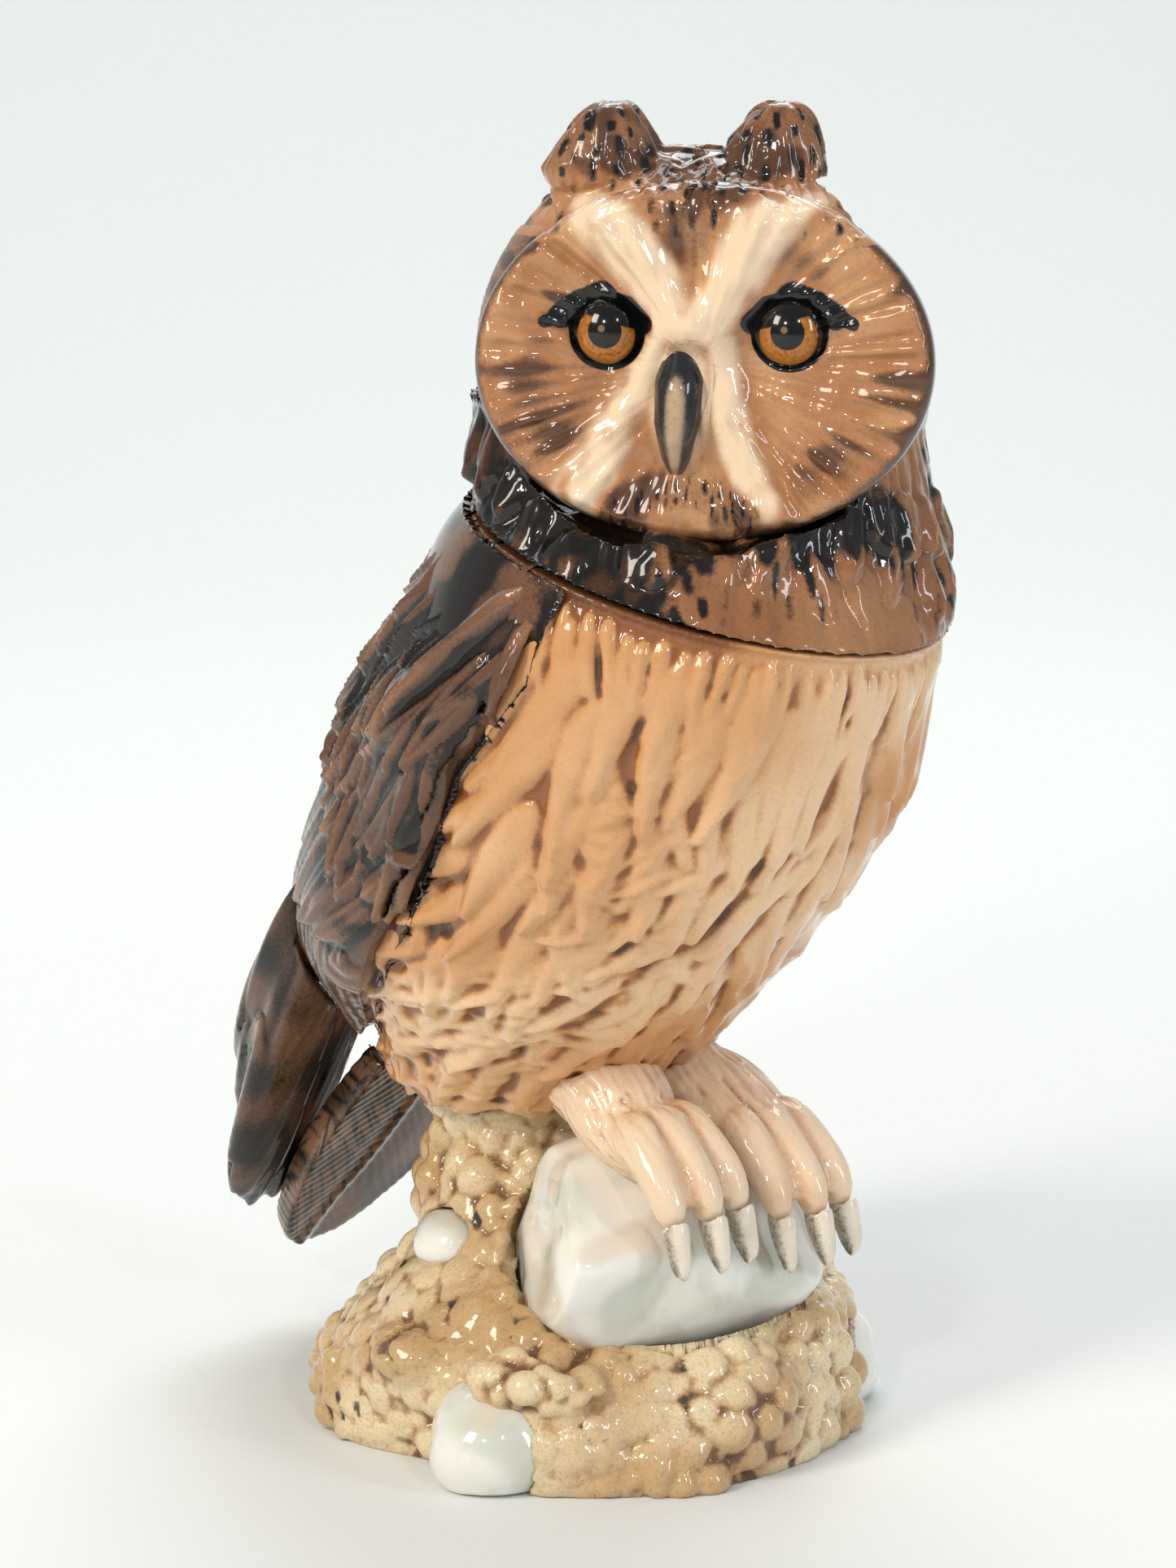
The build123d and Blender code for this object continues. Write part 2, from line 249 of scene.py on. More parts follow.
def filled(obj, middle):
    """Takes the inner skin off a hollow casting and closes what is left, so it is solid clay."""
    middle = Vector(middle) * MM
    work = bmesh.new()
    work.from_mesh(obj.data)
    inner = [face for face in work.faces if face.normal.dot(face.calc_center_median() - middle) < 0]
    bmesh.ops.delete(work, geom=inner, context="FACES")
    bmesh.ops.holes_fill(work, edges=work.edges, sides=0)
    bmesh.ops.triangulate(work, faces=work.faces)
    work.to_mesh(obj.data)
    work.free()
    return obj


def clay(obj, grain, soften=6):
    """Even clay: a voxel remesh of the object, with its steps smoothed away."""
    apply_modifier(obj, "REMESH", mode="VOXEL", voxel_size=grain * MM, adaptivity=0.0)
    apply_modifier(obj, "SMOOTH", factor=0.5, iterations=soften)
    obj = without_crumbs(obj)
    select_only(obj)
    bpy.ops.object.shade_smooth()
    return obj


def without_crumbs(obj):
    """Drops the tiny islands a remesh can leave."""
    name = obj.name
    select_only(obj)
    bpy.ops.object.mode_set(mode="EDIT")
    bpy.ops.mesh.select_all(action="SELECT")
    bpy.ops.mesh.separate(type="LOOSE")
    bpy.ops.object.mode_set(mode="OBJECT")
    islands = list(bpy.context.selected_objects)
    most = max(len(island.data.vertices) for island in islands)
    bpy.ops.object.select_all(action="DESELECT")
    for island in islands:
        if len(island.data.vertices) < most * 0.1:
            bpy.data.objects.remove(island)
        else:
            island.select_set(True)
            bpy.context.view_layer.objects.active = island
    if len(bpy.context.selected_objects) > 1:
        bpy.ops.object.join()
    obj = bpy.context.view_layer.objects.active
    obj.name = obj.data.name = name
    return obj


def points(obj):
    flat = np.empty(len(obj.data.vertices) * 3, dtype=np.float32)
    obj.data.vertices.foreach_get("co", flat)
    return flat.reshape(-1, 3).astype(float) / MM


def normals(obj):
    flat = np.empty(len(obj.data.vertices) * 3, dtype=np.float32)
    obj.data.vertex_normals.foreach_get("vector", flat)
    return flat.reshape(-1, 3).astype(float)


def move_points(obj, co):
    obj.data.vertices.foreach_set("co", (co * MM).astype(np.float32).ravel())
    obj.data.update()


def edge_ends(obj):
    ends = np.empty(len(obj.data.edges) * 2, dtype=np.int32)
    obj.data.edges.foreach_get("vertices", ends)
    return ends.reshape(-1, 2)


def softened(obj, values, times=1, share=0.5):
    """Values, each drawn towards the mean of its neighbours."""
    ends = edge_ends(obj)
    count = np.bincount(ends.ravel(), minlength=len(values)).clip(1)
    values = values.astype(float)
    for _ in range(times):
        total = np.bincount(ends[:, 0], values[ends[:, 1]], len(values))
        total += np.bincount(ends[:, 1], values[ends[:, 0]], len(values))
        values = values + share * (total / count - values)
    return values


def paint(obj, **masks):
    for name, values in masks.items():
        layer = obj.data.attributes.new(name, "FLOAT", "POINT")
        layer.data.foreach_set("value", np.clip(values, 0, 1).astype(np.float32))


def unit(vectors):
    return vectors / np.linalg.norm(vectors, axis=-1, keepdims=True).clip(1e-9)


def scatter(co, allowed, spacing, rng, most=4000):
    """Indices of points that stand at least spacing apart."""
    order = rng.permutation(np.nonzero(allowed)[0])[: most * 12]
    spacing = np.broadcast_to(spacing, len(co))
    kept = np.full((most, 3), 1e6)
    chosen = []
    for index in order:
        gap = ((kept[: len(chosen)] - co[index]) ** 2).sum(1)
        if len(chosen) == 0 or gap.min() > spacing[index] ** 2:
            kept[len(chosen)] = co[index]
            chosen.append(index)
            if len(chosen) == most:
                break
    return np.array(chosen, dtype=int)


class Strokes:
    """What strokes leave on the clay: height, and where on the topmost stroke each point is."""

    def __init__(self, co, no):
        self.co, self.no = co, no
        self.height = np.zeros(len(co))
        self.along = np.zeros(len(co))
        self.across = np.zeros(len(co))
        self.tone = np.full(len(co), 0.5)
        self.order = np.argsort(co[:, 2])
        self.level = co[self.order, 2]

    def near(self, root, reach):
        low, high = np.searchsorted(self.level, (root[2] - reach, root[2] + reach))
        index = self.order[low:high]
        return index[np.abs(self.co[index] - root).max(1) < reach]

    def lay(
        self,
        root,
        normal,
        along,
        length,
        width,
        height,
        ramp=0.4,
        tip=0.4,
        bend=0.0,
        dome=0.5,
        tone=0.5,
    ):
        """One feather: it rises from root to tip, is domed across, and ends in a round tip."""
        side = np.cross(normal, along)
        index = self.near(root, max(length, width) * 1.1)
        rel = self.co[index] - root
        s = rel @ along / length
        t = (rel @ side) / width - bend * s * s * length / width
        facing = self.no[index] @ normal
        half = np.clip(s / 0.22, 0, 1) ** 0.5 * np.clip((1 - s) / tip, 0, 1) ** 0.5
        inside = 1 - (t / half.clip(1e-3)) ** 2
        keep = (s > 0) & (s < 1) & (inside > 0) & (facing > 0.1)
        index, s, t, inside = index[keep], s[keep], t[keep], inside[keep]
        rise = height * (ramp + (1 - ramp) * s) * inside**dome
        top = rise > self.height[index]
        index, s, t, rise = index[top], s[top], t[top], rise[top]
        self.height[index] = rise
        self.along[index] = s
        self.across[index] = t
        self.tone[index] = tone

    def ball(self, root, radius, height):
        """One round knob."""
        index = self.near(root, radius)
        away = np.linalg.norm(self.co[index] - root, axis=1) / radius
        rise = height * np.sqrt(np.clip(1 - away**2, 0, 1))
        top = rise > self.height[index]
        self.height[index[top]] = rise[top]
        self.across[index[top]] = away[top]


def dabs_on(co, no, roots, along, length, width, rng):
    """Mask of brush dabs: short strokes of black-brown with soft ragged ends."""
    mask = np.zeros(len(co))
    for root, normal, way in zip(co[roots], no[roots], along[roots]):
        size = length * rng.uniform(0.5, 1.3)
        side = np.cross(normal, way)
        rel = co - root
        s = rel @ way / size
        t = rel @ side / (width * rng.uniform(0.6, 1.3))
        depth = rel @ normal / size
        mask = np.maximum(
            mask,
            np.exp(-((s * 1.6) ** 4) - t**2 - (depth * 1.5) ** 4) * rng.uniform(0.7, 1.0),
        )
    return mask


def lie(no, way):
    """Directions on the surface that follow a way."""
    way = np.broadcast_to(way, no.shape)
    return unit(way - no * (way * no).sum(1, keepdims=True))


def turned(no, along, angle):
    """Directions turned about the normals by an angle for each."""
    side = np.cross(no, along)
    return along * np.cos(angle)[:, None] + side * np.sin(angle)[:, None]


def wave(co, size, seed):
    """Smooth noise between -1 and 1, from a few crossed waves about size across."""
    rng = np.random.default_rng(seed)
    total = np.zeros(len(co))
    for _ in range(7):
        way = unit(rng.normal(size=3))
        total += np.sin(co @ way * 2 * math.pi / (size * rng.uniform(0.7, 1.6)) + rng.uniform(0, 6.3))
    return total / 3.2


def finish_piece(obj, body, nodes, material):
    low, high = np.array(CAD_BOX) / MM
    move_points(obj, points(obj).clip(low, high))
    obj.data.materials.clear()
    obj.data.materials.append(material)
    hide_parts(*nodes)
    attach(obj, body)
    return obj


# --- places on the bird --------------------------------------------------------------------


def seam_plane():
    """The parting plane between head and body: its normal, and how far along it the plane is."""
    normal = unit(np.array(frame["joints"][0]["axis"], dtype=float))
    ruff = points(NODES["neck_ruff"])
    return normal, (ruff @ normal).min()


SEAM_NORMAL, SEAM_LEVEL = seam_plane()


def below_seam(co, gap=0.06):
    """Keeps points at least a gap below the parting plane."""
    above = (co @ SEAM_NORMAL - (SEAM_LEVEL - gap)).clip(0)
    return co - above[:, None] * SEAM_NORMAL


def above_seam(co):
    """Keeps points above the parting plane, all but those of the spigot that goes into the neck."""
    rel = co - node_middle("cork_sleeve")
    away = np.linalg.norm(rel - (rel @ SEAM_NORMAL)[:, None] * SEAM_NORMAL, axis=1)
    below = (SEAM_LEVEL - co @ SEAM_NORMAL).clip(0) * (away > 13)
    return co + below[:, None] * SEAM_NORMAL


def seam_distance(co):
    return co @ SEAM_NORMAL - SEAM_LEVEL


def azimuth(co):
    """Angle round the trunk from the breast, growing to the bird's left, in radians."""
    trunk = points(NODES["body_shell"])
    levels = np.linspace(trunk[:, 2].min() + 2, trunk[:, 2].max() - 10, 14)
    centres = []
    for level in levels:
        ring = trunk[np.abs(trunk[:, 2] - level) < 3]
        centres.append((ring.min(0) + ring.max(0)) / 2)
    centres = np.array(centres)
    x = co[:, 0] - np.interp(co[:, 2], levels, centres[:, 0])
    y = co[:, 1] - np.interp(co[:, 2], levels, centres[:, 1])
    return np.arctan2(x * LEFT[0] + y * LEFT[1], x * FORWARD[0] + y * FORWARD[1])


def hollows(obj, height, reach, depth):
    """How deep each point lies below its surroundings, from 0 on ridges to 1 in grooves."""
    return np.clip(0.5 + (softened(obj, height, reach, 0.9) - height) / depth, 0, 1)


def bird(forward, left, up):
    """A point given in the bird's own directions, in millimetres."""
    return FORWARD * forward + LEFT * left + UP * up


def even_points(nodes, grain):
    """Evenly spaced points over CAD pieces."""
    probe = clay(copied("probe", nodes), grain, soften=2)
    co = points(probe)
    bpy.data.objects.remove(probe)
    return co


def nearest(co, targets):
    """Distance from each point to the nearest target."""
    tree = KDTree(len(targets))
    for number, place in enumerate(targets):
        tree.insert(place, number)
    tree.balance()
    return np.array([tree.find(place)[2] for place in co])


def along_path(co, path, width):
    """Smooth mask round a path in space: 1 on it, and fading over a width."""
    away = np.full(len(co), 1e6)
    for start, end in zip(path[:-1], path[1:]):
        run = end - start
        share = np.clip((co - start) @ run / (run @ run), 0, 1)
        away = np.minimum(away, np.linalg.norm(co - start - share[:, None] * run, axis=1))
    return np.exp(-((away / width) ** 2))


# --- the body ------------------------------------------------------------------------------


def wavy(co, no, way, swing, size, seed):
    """Directions that follow a way and meander to either side of it."""
    return turned(no, lie(no, way), wave(co, size, seed) * swing)


def lay_all(strokes, roots, along, rng, length, width, height, **shape):
    """Lays a feather at every root, each a little different."""
    bend = shape.pop("bend", 0.0)
    for root in roots:
        strokes.lay(
            strokes.co[root],
            strokes.no[root],
            along[root],
            length * rng.uniform(0.8, 1.25),
            width * rng.uniform(0.8, 1.2),
            height * rng.uniform(0.8, 1.15),
            bend=rng.uniform(-bend, bend),
            tone=rng.random(),
            **shape,
        )


def make_breast(look):
    """The trunk: long wavy locks over the breast, curls on the belly, short pleats below the ruff."""
    rng = np.random.default_rng(11)
    obj = filled(copied("breast", ["body_shell"]), node_middle("body_shell"))
    obj = clay(obj, look.grain)
    co, no = points(obj), normals(obj)
    seam = -seam_distance(co)
    skin = (seam > 0.8) & (co[:, 2] > 42)
    near_ruff = np.exp(-seam / 9)
    way = TAILWARD[None] * (1 - near_ruff[:, None]) - UP * near_ruff[:, None]
    along = wavy(co, no, way, 0.42, 28, 3)
    locks = Strokes(co, no)
    lay_all(
        locks,
        scatter(co, skin & (seam > 4), 5.0, rng),
        along,
        rng,
        20,
        3.5,
        2.5,
        ramp=0.3,
        tip=0.9,
        bend=0.35,
        dome=0.7,
    )
    curls = Strokes(co, no)
    along = wavy(co, no, way, 0.8, 11, 5)
    lay_all(
        curls,
        scatter(co, skin & (seam > 4), 2.7, rng),
        along,
        rng,
        10,
        1.05,
        0.95,
        ramp=0.3,
        tip=0.8,
        bend=0.6,
    )
    pleats = Strokes(co, no)
    along = wavy(co, no, way, 0.12, 12, 6)
    roots = scatter(co, (seam > 1.6) & (seam < 3.4), 1.9, rng)
    lay_all(pleats, roots, along, rng, 10, 0.95, 1.5, ramp=0.7, tip=0.8, bend=0.15)
    busy = np.clip(0.6 + wave(co, 22, 12) * 0.8 + (70 - co[:, 2]) / 40, 0.15, 1)
    height = np.maximum(locks.height + curls.height * busy, pleats.height)
    height = np.where(skin, softened(obj, height, 4), 0)
    lump = wave(co, 26, 9) * 0.5 * np.clip(seam / 8, 0, 1)
    move_points(obj, below_seam(co + no * ((height - 1.5) * np.clip(seam / 1.5, 0, 1) + lump)[:, None]))
    shade = np.clip(hollows(obj, height, 40, 1.5) * 1.7 - 0.6, 0, 1)
    wings = np.exp(-nearest(co, even_points(["right_wing", "left_wing"], 1.5)) / 4)
    patches = np.clip(wave(co, 9, 21) * 0.9 + 0.1, 0, 1) * np.clip(shade * 2 - 0.9, 0, 1)
    low = np.clip((62 - co[:, 2]) / 20, 0, 1)
    collar = np.exp(-seam / 3.5) * np.clip((-12 - co @ LEFT) / 8, 0, 1)
    paint(
        obj,
        shade=shade * 1.05 + 0.3 * patches + 0.35 * wings + 0.8 * collar,
        dark=0.8 * patches + 0.6 * wings * shade + 0.5 * np.clip(shade - 0.7, 0, 1) + 0.6 * collar,
        warm=0.3 + 0.45 * wave(co, 30, 8) + 0.3 * low + 0.7 * wings + 0.4 * np.exp(-seam / 6),
    )
    cutter_place = Matrix.Translation(Vector(node_middle("cork_sleeve")) * MM)
    bpy.ops.object.select_all(action="DESELECT")
    bpy.ops.mesh.primitive_cylinder_add(vertices=48, radius=15 * MM, depth=44 * MM)
    cutter = bpy.context.active_object
    turn = Vector((0, 0, 1)).rotation_difference(Vector(SEAM_NORMAL)).to_matrix().to_4x4()
    sink = Matrix.Translation(Vector(SEAM_NORMAL) * -0.006)
    cutter.matrix_world = sink @ cutter_place @ turn
    apply_modifier(obj, "BOOLEAN", operation="DIFFERENCE", object=cutter, solver="MANIFOLD")
    bpy.data.objects.remove(cutter)
    glaze = feather_glaze("Hand-painted breast underglaze", look.tones("breast"), speckle=0.2)
    finish_piece(obj, "bottle", ["body_shell"], glaze)


SHOULDER_CREASE = (
    (17, 31, 120),
    (14, 31.6, 115.6),
    (11.3, 32.2, 111.3),
    (6.5, 32.4, 108),
    (-3.4, 31, 103.7),
    (-12, 31, 97),
)
FRONT_CREASE = ((27, 31, 112), (24, 33, 103), (18.6, 36.4, 95.4), (14, 37, 88), (9.7, 38, 82))


def make_wing(look, word):
    """One folded wing: a shoulder mass, long ridged coverts, then rows of round-tipped feathers."""
    rng = np.random.default_rng(23 if word == "right" else 29)
    side = -1 if word == "right" else 1
    obj = clay(copied(f"{word}_wing_feathers", [f"{word}_wing"]), look.grain)
    co, no = points(obj), normals(obj)
    bare = even_points(["body_shell"], 1.5)
    bare = bare[nearest(bare, even_points([f"{word}_wing"], 1.5)) > 2]
    edge = nearest(co, bare)
    middle = node_middle("body_shell") + UP * 8
    outward = unit((co - middle) * (1, 1, 0.45))
    skin = (no * (co - middle)).sum(1) > 0
    thin = 3.0 * (1 - np.clip(edge / 8, 0, 1)) ** 1.5
    co = co - outward * (thin * skin)[:, None]
    move_points(obj, co)
    no = normals(obj)
    s = co @ TAILWARD
    out = np.abs(azimuth(co)) * 36
    along = wavy(co, no, TAILWARD, 0.22, 22, 7)
    strokes = Strokes(co, no)
    coverts = scatter(co, skin & (s < -72), 3.8, rng)
    lay_all(strokes, coverts, along, rng, 17, 2.2, 2.8, ramp=0.35, tip=0.5, bend=0.25, dome=0.75)
    rows = (
        (-76, 12, 2.4, 2.4),
        (-67, 11, 2.6, 2.2),
        (-61, 20, 3.2, 2.1),
        (-46, 24, 3.6, 1.9),
        (-32, 20, 3.6, 1.6),
    )
    for start, length, width, height in rows:
        row = skin & (np.abs(s - start) < 1.2)
        if not row.any():
            continue
        low, high = out[row].min(), out[row].max()
        for place in np.arange(low, high, width * 1.45):
            root = np.argmin(np.where(row, np.abs(out - place), 1e9))
            lay_all(strokes, [root], along, rng, length, width, height, ramp=0.45, tip=0.25, dome=0.4)
    barbs = np.cos(2 * math.pi * strokes.across * 2.2) * 0.12
    quill = np.exp(-((strokes.across / 0.12) ** 2)) * 0.2
    height = softened(obj, strokes.height + barbs + quill, 1)
    height = np.where(skin, height, 0)
    creases = along_path(co, [bird(f, l * side, z) for f, l, z in SHOULDER_CREASE], 2.6)
    front = along_path(co, [bird(f, l * side, z) for f, l, z in FRONT_CREASE], 1.6)
    lump = (wave(co, 24, 4) * 0.7 - 1.4 * creases - 0.9 * front) * skin
    keep = np.clip(edge / 2.5, 0.25, 1)
    rise = (np.where(skin, height - 2.4, 0) + lump) * keep
    move_points(obj, below_seam(co + no * rise[:, None]))
    shade = np.clip(hollows(obj, height, 30, 1.5) + creases, 0, 1)
    streaks = np.clip(wave(co, 6, 14) * 0.7 + (strokes.tone - 0.4) * 1.2, 0, 1)
    ends = np.clip((strokes.along - 0.75) / 0.25, 0, 1)
    front_band = np.exp(-edge / 5)
    paint(
        obj,
        shade=shade + 0.25 - 0.35 * front_band,
        dark=(
            np.clip(shade - 0.35, 0, 1) * 1.9
            + 0.6 * streaks
            + 0.35 * creases
            + 0.35 * front
            - 0.35 * ends
            - 0.2 * front_band
        ),
        warm=0.5 + 0.5 * wave(co, 18, 6),
    )
    glaze = feather_glaze("Hand-painted wing underglaze", look.tones("wing"))
    finish_piece(obj, "bottle", [f"{word}_wing"], glaze)


def blade(root, tip, broad, width, thick):
    """A flat oval of clay from a root to a tip, broad along a given way."""
    bpy.ops.object.select_all(action="DESELECT")
    bpy.ops.mesh.primitive_uv_sphere_add(segments=32, ring_count=24, radius=1.0)
    obj = bpy.context.active_object
    ball = points(obj) * MM
    way = tip - root
    broad = unit(broad - way * (broad @ way) / (way @ way))
    flat = unit(np.cross(way, broad))
    taper = 1 - 0.25 * ball[:, 2:]
    place = (root + tip) / 2 + ball[:, 2:] * way / 2
    place = place + broad * ball[:, :1] * width * taper / 2 + flat * ball[:, 1:2] * thick / 2
    move_points(obj, place)
    return obj


def make_primaries(look, word):
    """The long wing tip: a stack of narrow blades with staggered tips."""
    rng = np.random.default_rng(31)
    side = -1 if word == "right" else 1
    node = f"{word}_primaries"
    base = copied(f"{word}_wing_tip", [node])
    stack = [blade(bird(-22, 24 * side, 72), bird(-53.6, 14.6 * side, 29.5), LEFT, 13, 5.0)]
    stack.append(blade(bird(-20, 25.5 * side, 76), bird(-49, 18.5 * side, 40), LEFT, 12, 5.5))
    bpy.ops.object.select_all(action="DESELECT")
    for part in (*stack, base):
        part.select_set(True)
    bpy.context.view_layer.objects.active = base
    bpy.ops.object.join()
    obj = clay(base, 0.4, soften=24)
    co, no = points(obj), normals(obj)
    way = unit(bird(-54, 13 * side, 19) - bird(-25, 19 * side, 65))
    along = lie(no, way)
    strokes = Strokes(co, no)
    broad = unit(LEFT - way * (LEFT @ way))
    flat = unit(np.cross(way, LEFT))
    rows = ((0, 44), (6, 40), (16, 30))
    for start, size in rows:
        for face in (-1, 1):
            facing = no @ flat * face > 0.3
            for number in range(4):
                place = bird(-25, 19 * side, 65) + way * start + broad * (number - 1.5) * 3.6
                root = np.argmin(np.where(facing, ((co - place) ** 2).sum(1), 1e9))
                lay_all(strokes, [root], along, rng, size, 2.5, 1.1, ramp=0.6, tip=0.2, dome=0.3)
    barbs = np.cos(2 * math.pi * (strokes.across * 2 + strokes.along * 5)) * 0.03
    height = softened(obj, strokes.height + barbs, 1)
    move_points(obj, co + no * (height - 0.8)[:, None])
    shade = hollows(obj, height, 14, 0.9)
    dark = 0.35 + 0.6 * shade + 0.35 * wave(co, 12, 4) + 0.3 * np.clip((42 - co[:, 2]) / 22, 0, 1)
    paint(obj, shade=shade + 0.2, dark=dark * 0.8, warm=0.6 + 0.4 * wave(co, 14, 6))
    glaze = feather_glaze("Hand-painted wing-tip underglaze", look.tones("wing"))
    finish_piece(obj, "bottle", [node], glaze)


def make_tail(look):
    """The tail vane: a quill down the middle, fine barbs, and dark oblique strokes on one half."""
    obj = clay(copied("tail_feathers", ["tail"]), 0.4, soften=24)
    co, no = points(obj), normals(obj)
    low, high = node_box("tail")
    down = unit(bird(-16.9, -4.9, -22.4))
    side = unit(LEFT - down * (LEFT @ down))
    rel = co - (low + high) / 2
    along, across = rel @ down, rel @ side
    front = np.clip(no @ FORWARD * 3, -1, 1)
    slope = np.abs(across + 1.5)
    barbs = np.sin(2 * math.pi * (along * 0.8 - slope * 0.9) / 1.7 + wave(co, 8, 2)) * 0.05
    vanes = np.abs((across + 14) % 9.0 / 9.0 - 0.5) * 0.35
    corner = along_path(co, [(low + high) / 2 + down * 14, (low + high) / 2 + down * 27 - side * 6], 6)
    height = softened(obj, barbs + vanes, 1) + 0.5 * np.exp(-(((across + 1.5) / 0.9) ** 2))
    move_points(obj, co + no * (height - 0.4)[:, None] + (down * 1.2 - side * 1.2) * corner[:, None])
    rng = np.random.default_rng(37)
    roots = scatter(co, (np.abs(front) > 0.5) & (along > -22), 2.1, rng)
    slanting = lie(no, down - side * np.sign(across + 1.5)[:, None] * 0.9)
    bars = dabs_on(co, no, roots, slanting, 7.0, 0.5, rng) * np.clip((7 - across) / 8, 0.15, 1)
    fade = np.clip((across - 1) / 6, 0, 1) * np.clip((along + 4) / 12, 0, 1)
    paint(
        obj,
        shade=0.45 + 0.5 * np.clip(0.4 - height, 0, 1) + 0.35 * wave(co, 11, 8) + 0.4 * fade,
        dark=(
            0.85 * bars
            + 0.75 * np.clip((along - 20) / 6, 0, 1)
            + 0.55 * fade * np.clip(wave(co, 10, 3) + 0.5, 0, 1)
        ),
        warm=0.6 + 0.4 * wave(co, 16, 6),
    )
    glaze = feather_glaze("Hand-painted tail underglaze", look.tones("tail"))
    finish_piece(obj, "bottle", ["tail"], glaze)


def make_leg(look, word):
    """One shank and its toes: fine long ridges like wet fur, pale on the toes."""
    rng = np.random.default_rng(41)
    side = -1 if word == "right" else 1
    nodes = [f"{word}_leg", f"{word}_toes"]
    low, high = node_box(f"{word}_toes")
    middle = (low + high) / 2
    foot = middle @ LEFT
    base = copied(f"{word}_foot", nodes)
    top = blade(bird(4, foot, 47), bird(26, foot, 35.5 - side * 1.5), LEFT, 13.5, 9)
    select_only(base)
    top.select_set(True)
    bpy.ops.object.join()
    obj = clay(base, 0.33, soften=26)
    co, no = points(obj), normals(obj)
    ahead, across = co @ FORWARD, co @ LEFT - foot
    way = unit(FORWARD * 0.75 - UP * 0.6)
    along = wavy(co, no, way, 0.16, 9, 12)
    strokes = Strokes(co, no)
    lay_all(
        strokes,
        scatter(co, co[:, 2] > 20, 1.5, rng),
        along,
        rng,
        7.5,
        0.62,
        0.5,
        ramp=0.4,
        tip=0.8,
        bend=0.2,
    )
    toes = np.clip((ahead - 19) / 6, 0, 1)
    furrow = np.exp(-(((np.abs(across) - 2.7) / 0.75) ** 2)) * np.clip((ahead - 13) / 8, 0, 1)
    height = softened(obj, strokes.height, 1) * (1 - 0.75 * toes) - 0.25 * furrow
    move_points(obj, co + no * (height - 0.15 - 0.35 * toes)[:, None])
    shade = hollows(obj, height, 10, 0.6) * (1 - 0.45 * toes)
    back = np.clip((16 - ahead) / 10, 0, 1)
    paint(
        obj,
        shade=shade * 0.8 + 0.35 * furrow,
        dark=0.35 * furrow * shade,
        warm=0.15 + 0.4 * back + 0.25 * wave(co, 10, 6),
    )
    glaze = feather_glaze("Pinkish leg underglaze", look.tones("leg"), speckle=0.12)
    finish_piece(obj, "bottle", nodes, glaze)


def make_claws(look, word):
    """Three long claws: cream on the ridge, with grey brushed down both sides to the point."""
    node = f"{word}_claws"
    base = copied(f"{word}_talons", [node])
    low, high = node_box(node)
    thirds = points(NODES[node]) @ LEFT
    hooks = []
    for share in (0.13, 0.5, 0.87):
        left = thirds.min() + (thirds.max() - thirds.min()) * share
        drop = low[2] + (high[2] - low[2]) * 0.5
        ahead = 29.6 if share == 0.5 else 28.7
        hooks.append(
            blade(bird(ahead - 2.4, left, drop + 4.6), bird(ahead + 1.4, left, drop - 4.2), LEFT, 2.5, 2.8)
        )
    bpy.ops.object.select_all(action="DESELECT")
    for part in (*hooks, base):
        part.select_set(True)
    bpy.context.view_layer.objects.active = base
    bpy.ops.object.join()
    obj = clay(base, 0.22, soften=14)
    co, no = points(obj), normals(obj)
    sides = np.clip(np.abs(no @ LEFT) * 1.6 - 0.6, 0, 1)
    tip = np.clip((low[2] + 2.5 - co[:, 2]) / 3, 0, 1)
    paint(obj, shade=0.1 + 0.5 * sides, dark=0.55 * sides + 0.25 * tip, warm=0.2 + 0.2 * wave(co, 3, 1))
    glaze = feather_glaze("Horn-grey claw underglaze", look.tones("claw"), speckle=0.15)
    finish_piece(obj, "bottle", [node], glaze)


def make_stone(look, name, nodes, facets, lump):
    """A water-worn stone: broad soft facets and shallow hollows."""
    rng = np.random.default_rng(83)
    obj = copied(name, nodes)
    if "perch_rock" in nodes:
        obj = filled(obj, node_middle("perch_rock"))
    obj = clay(obj, look.grain)
    co, no = points(obj), normals(obj)
    middle = (co.min(0) + co.max(0)) / 2
    low = co[:, 2].min()
    co = middle + (co - middle) * (1 + facets * 0.35)
    for _ in range(14 if facets else 0):
        way = unit(rng.normal(size=3))
        level = (co - middle) @ way
        over = level - level.max() * (1 - facets)
        co = co - way * (np.where(over > -1, (over + 1).clip(0) ** 2 / (over + 2).clip(1), 0) * 0.8)[:, None]
    co = co + no * (wave(co, 13, 5) * lump + wave(co, 6, 6) * lump * 0.25 - lump * 0.3)[:, None]
    co[:, 2] = co[:, 2].clip(max(low, 0))
    move_points(obj, co)
    edges = softened(obj, (normals(obj) * unit(co - middle)).sum(1), 6)
    paint(
        obj,
        shade=0.55 - 0.5 * wave(co, 13, 8) + 0.4 * np.clip(0.85 - edges, 0, 1),
        warm=0.4 + 0.5 * wave(co, 9, 9),
        dark=np.zeros(len(co)),
    )
    finish_piece(obj, "bottle", nodes, stone_glaze(look))


def stone_glaze(look):
    """White slip under a thick pooling glaze: grey-green where it is deep, buff at the edges."""
    name = "Pooled stone glaze"
    if name in bpy.data.materials:
        return bpy.data.materials[name]
    material, tree = new_material(name)
    light, pool, buff = look.tones("stone")
    place = add(tree, "ShaderNodeTexCoord")["Object"]
    clouds = add(
        tree,
        "ShaderNodeTexNoise",
        {"Vector": place, "Scale": per_mm(5.0), "Detail": 4.0},
    )["Fac"]
    shade = add(tree, "ShaderNodeAttribute", attribute_name="shade")["Fac"]
    warmth = add(tree, "ShaderNodeAttribute", attribute_name="warm")["Fac"]
    colour = coats(
        tree,
        light,
        (shade, 0.45, 1.0, 0.8, pool),
        (warmth, 0.6, 1.0, 0.6, buff),
        (clouds, 0.5, 0.75, 0.5, pool),
    )
    return glaze_over(material, colour, rough=0.25)


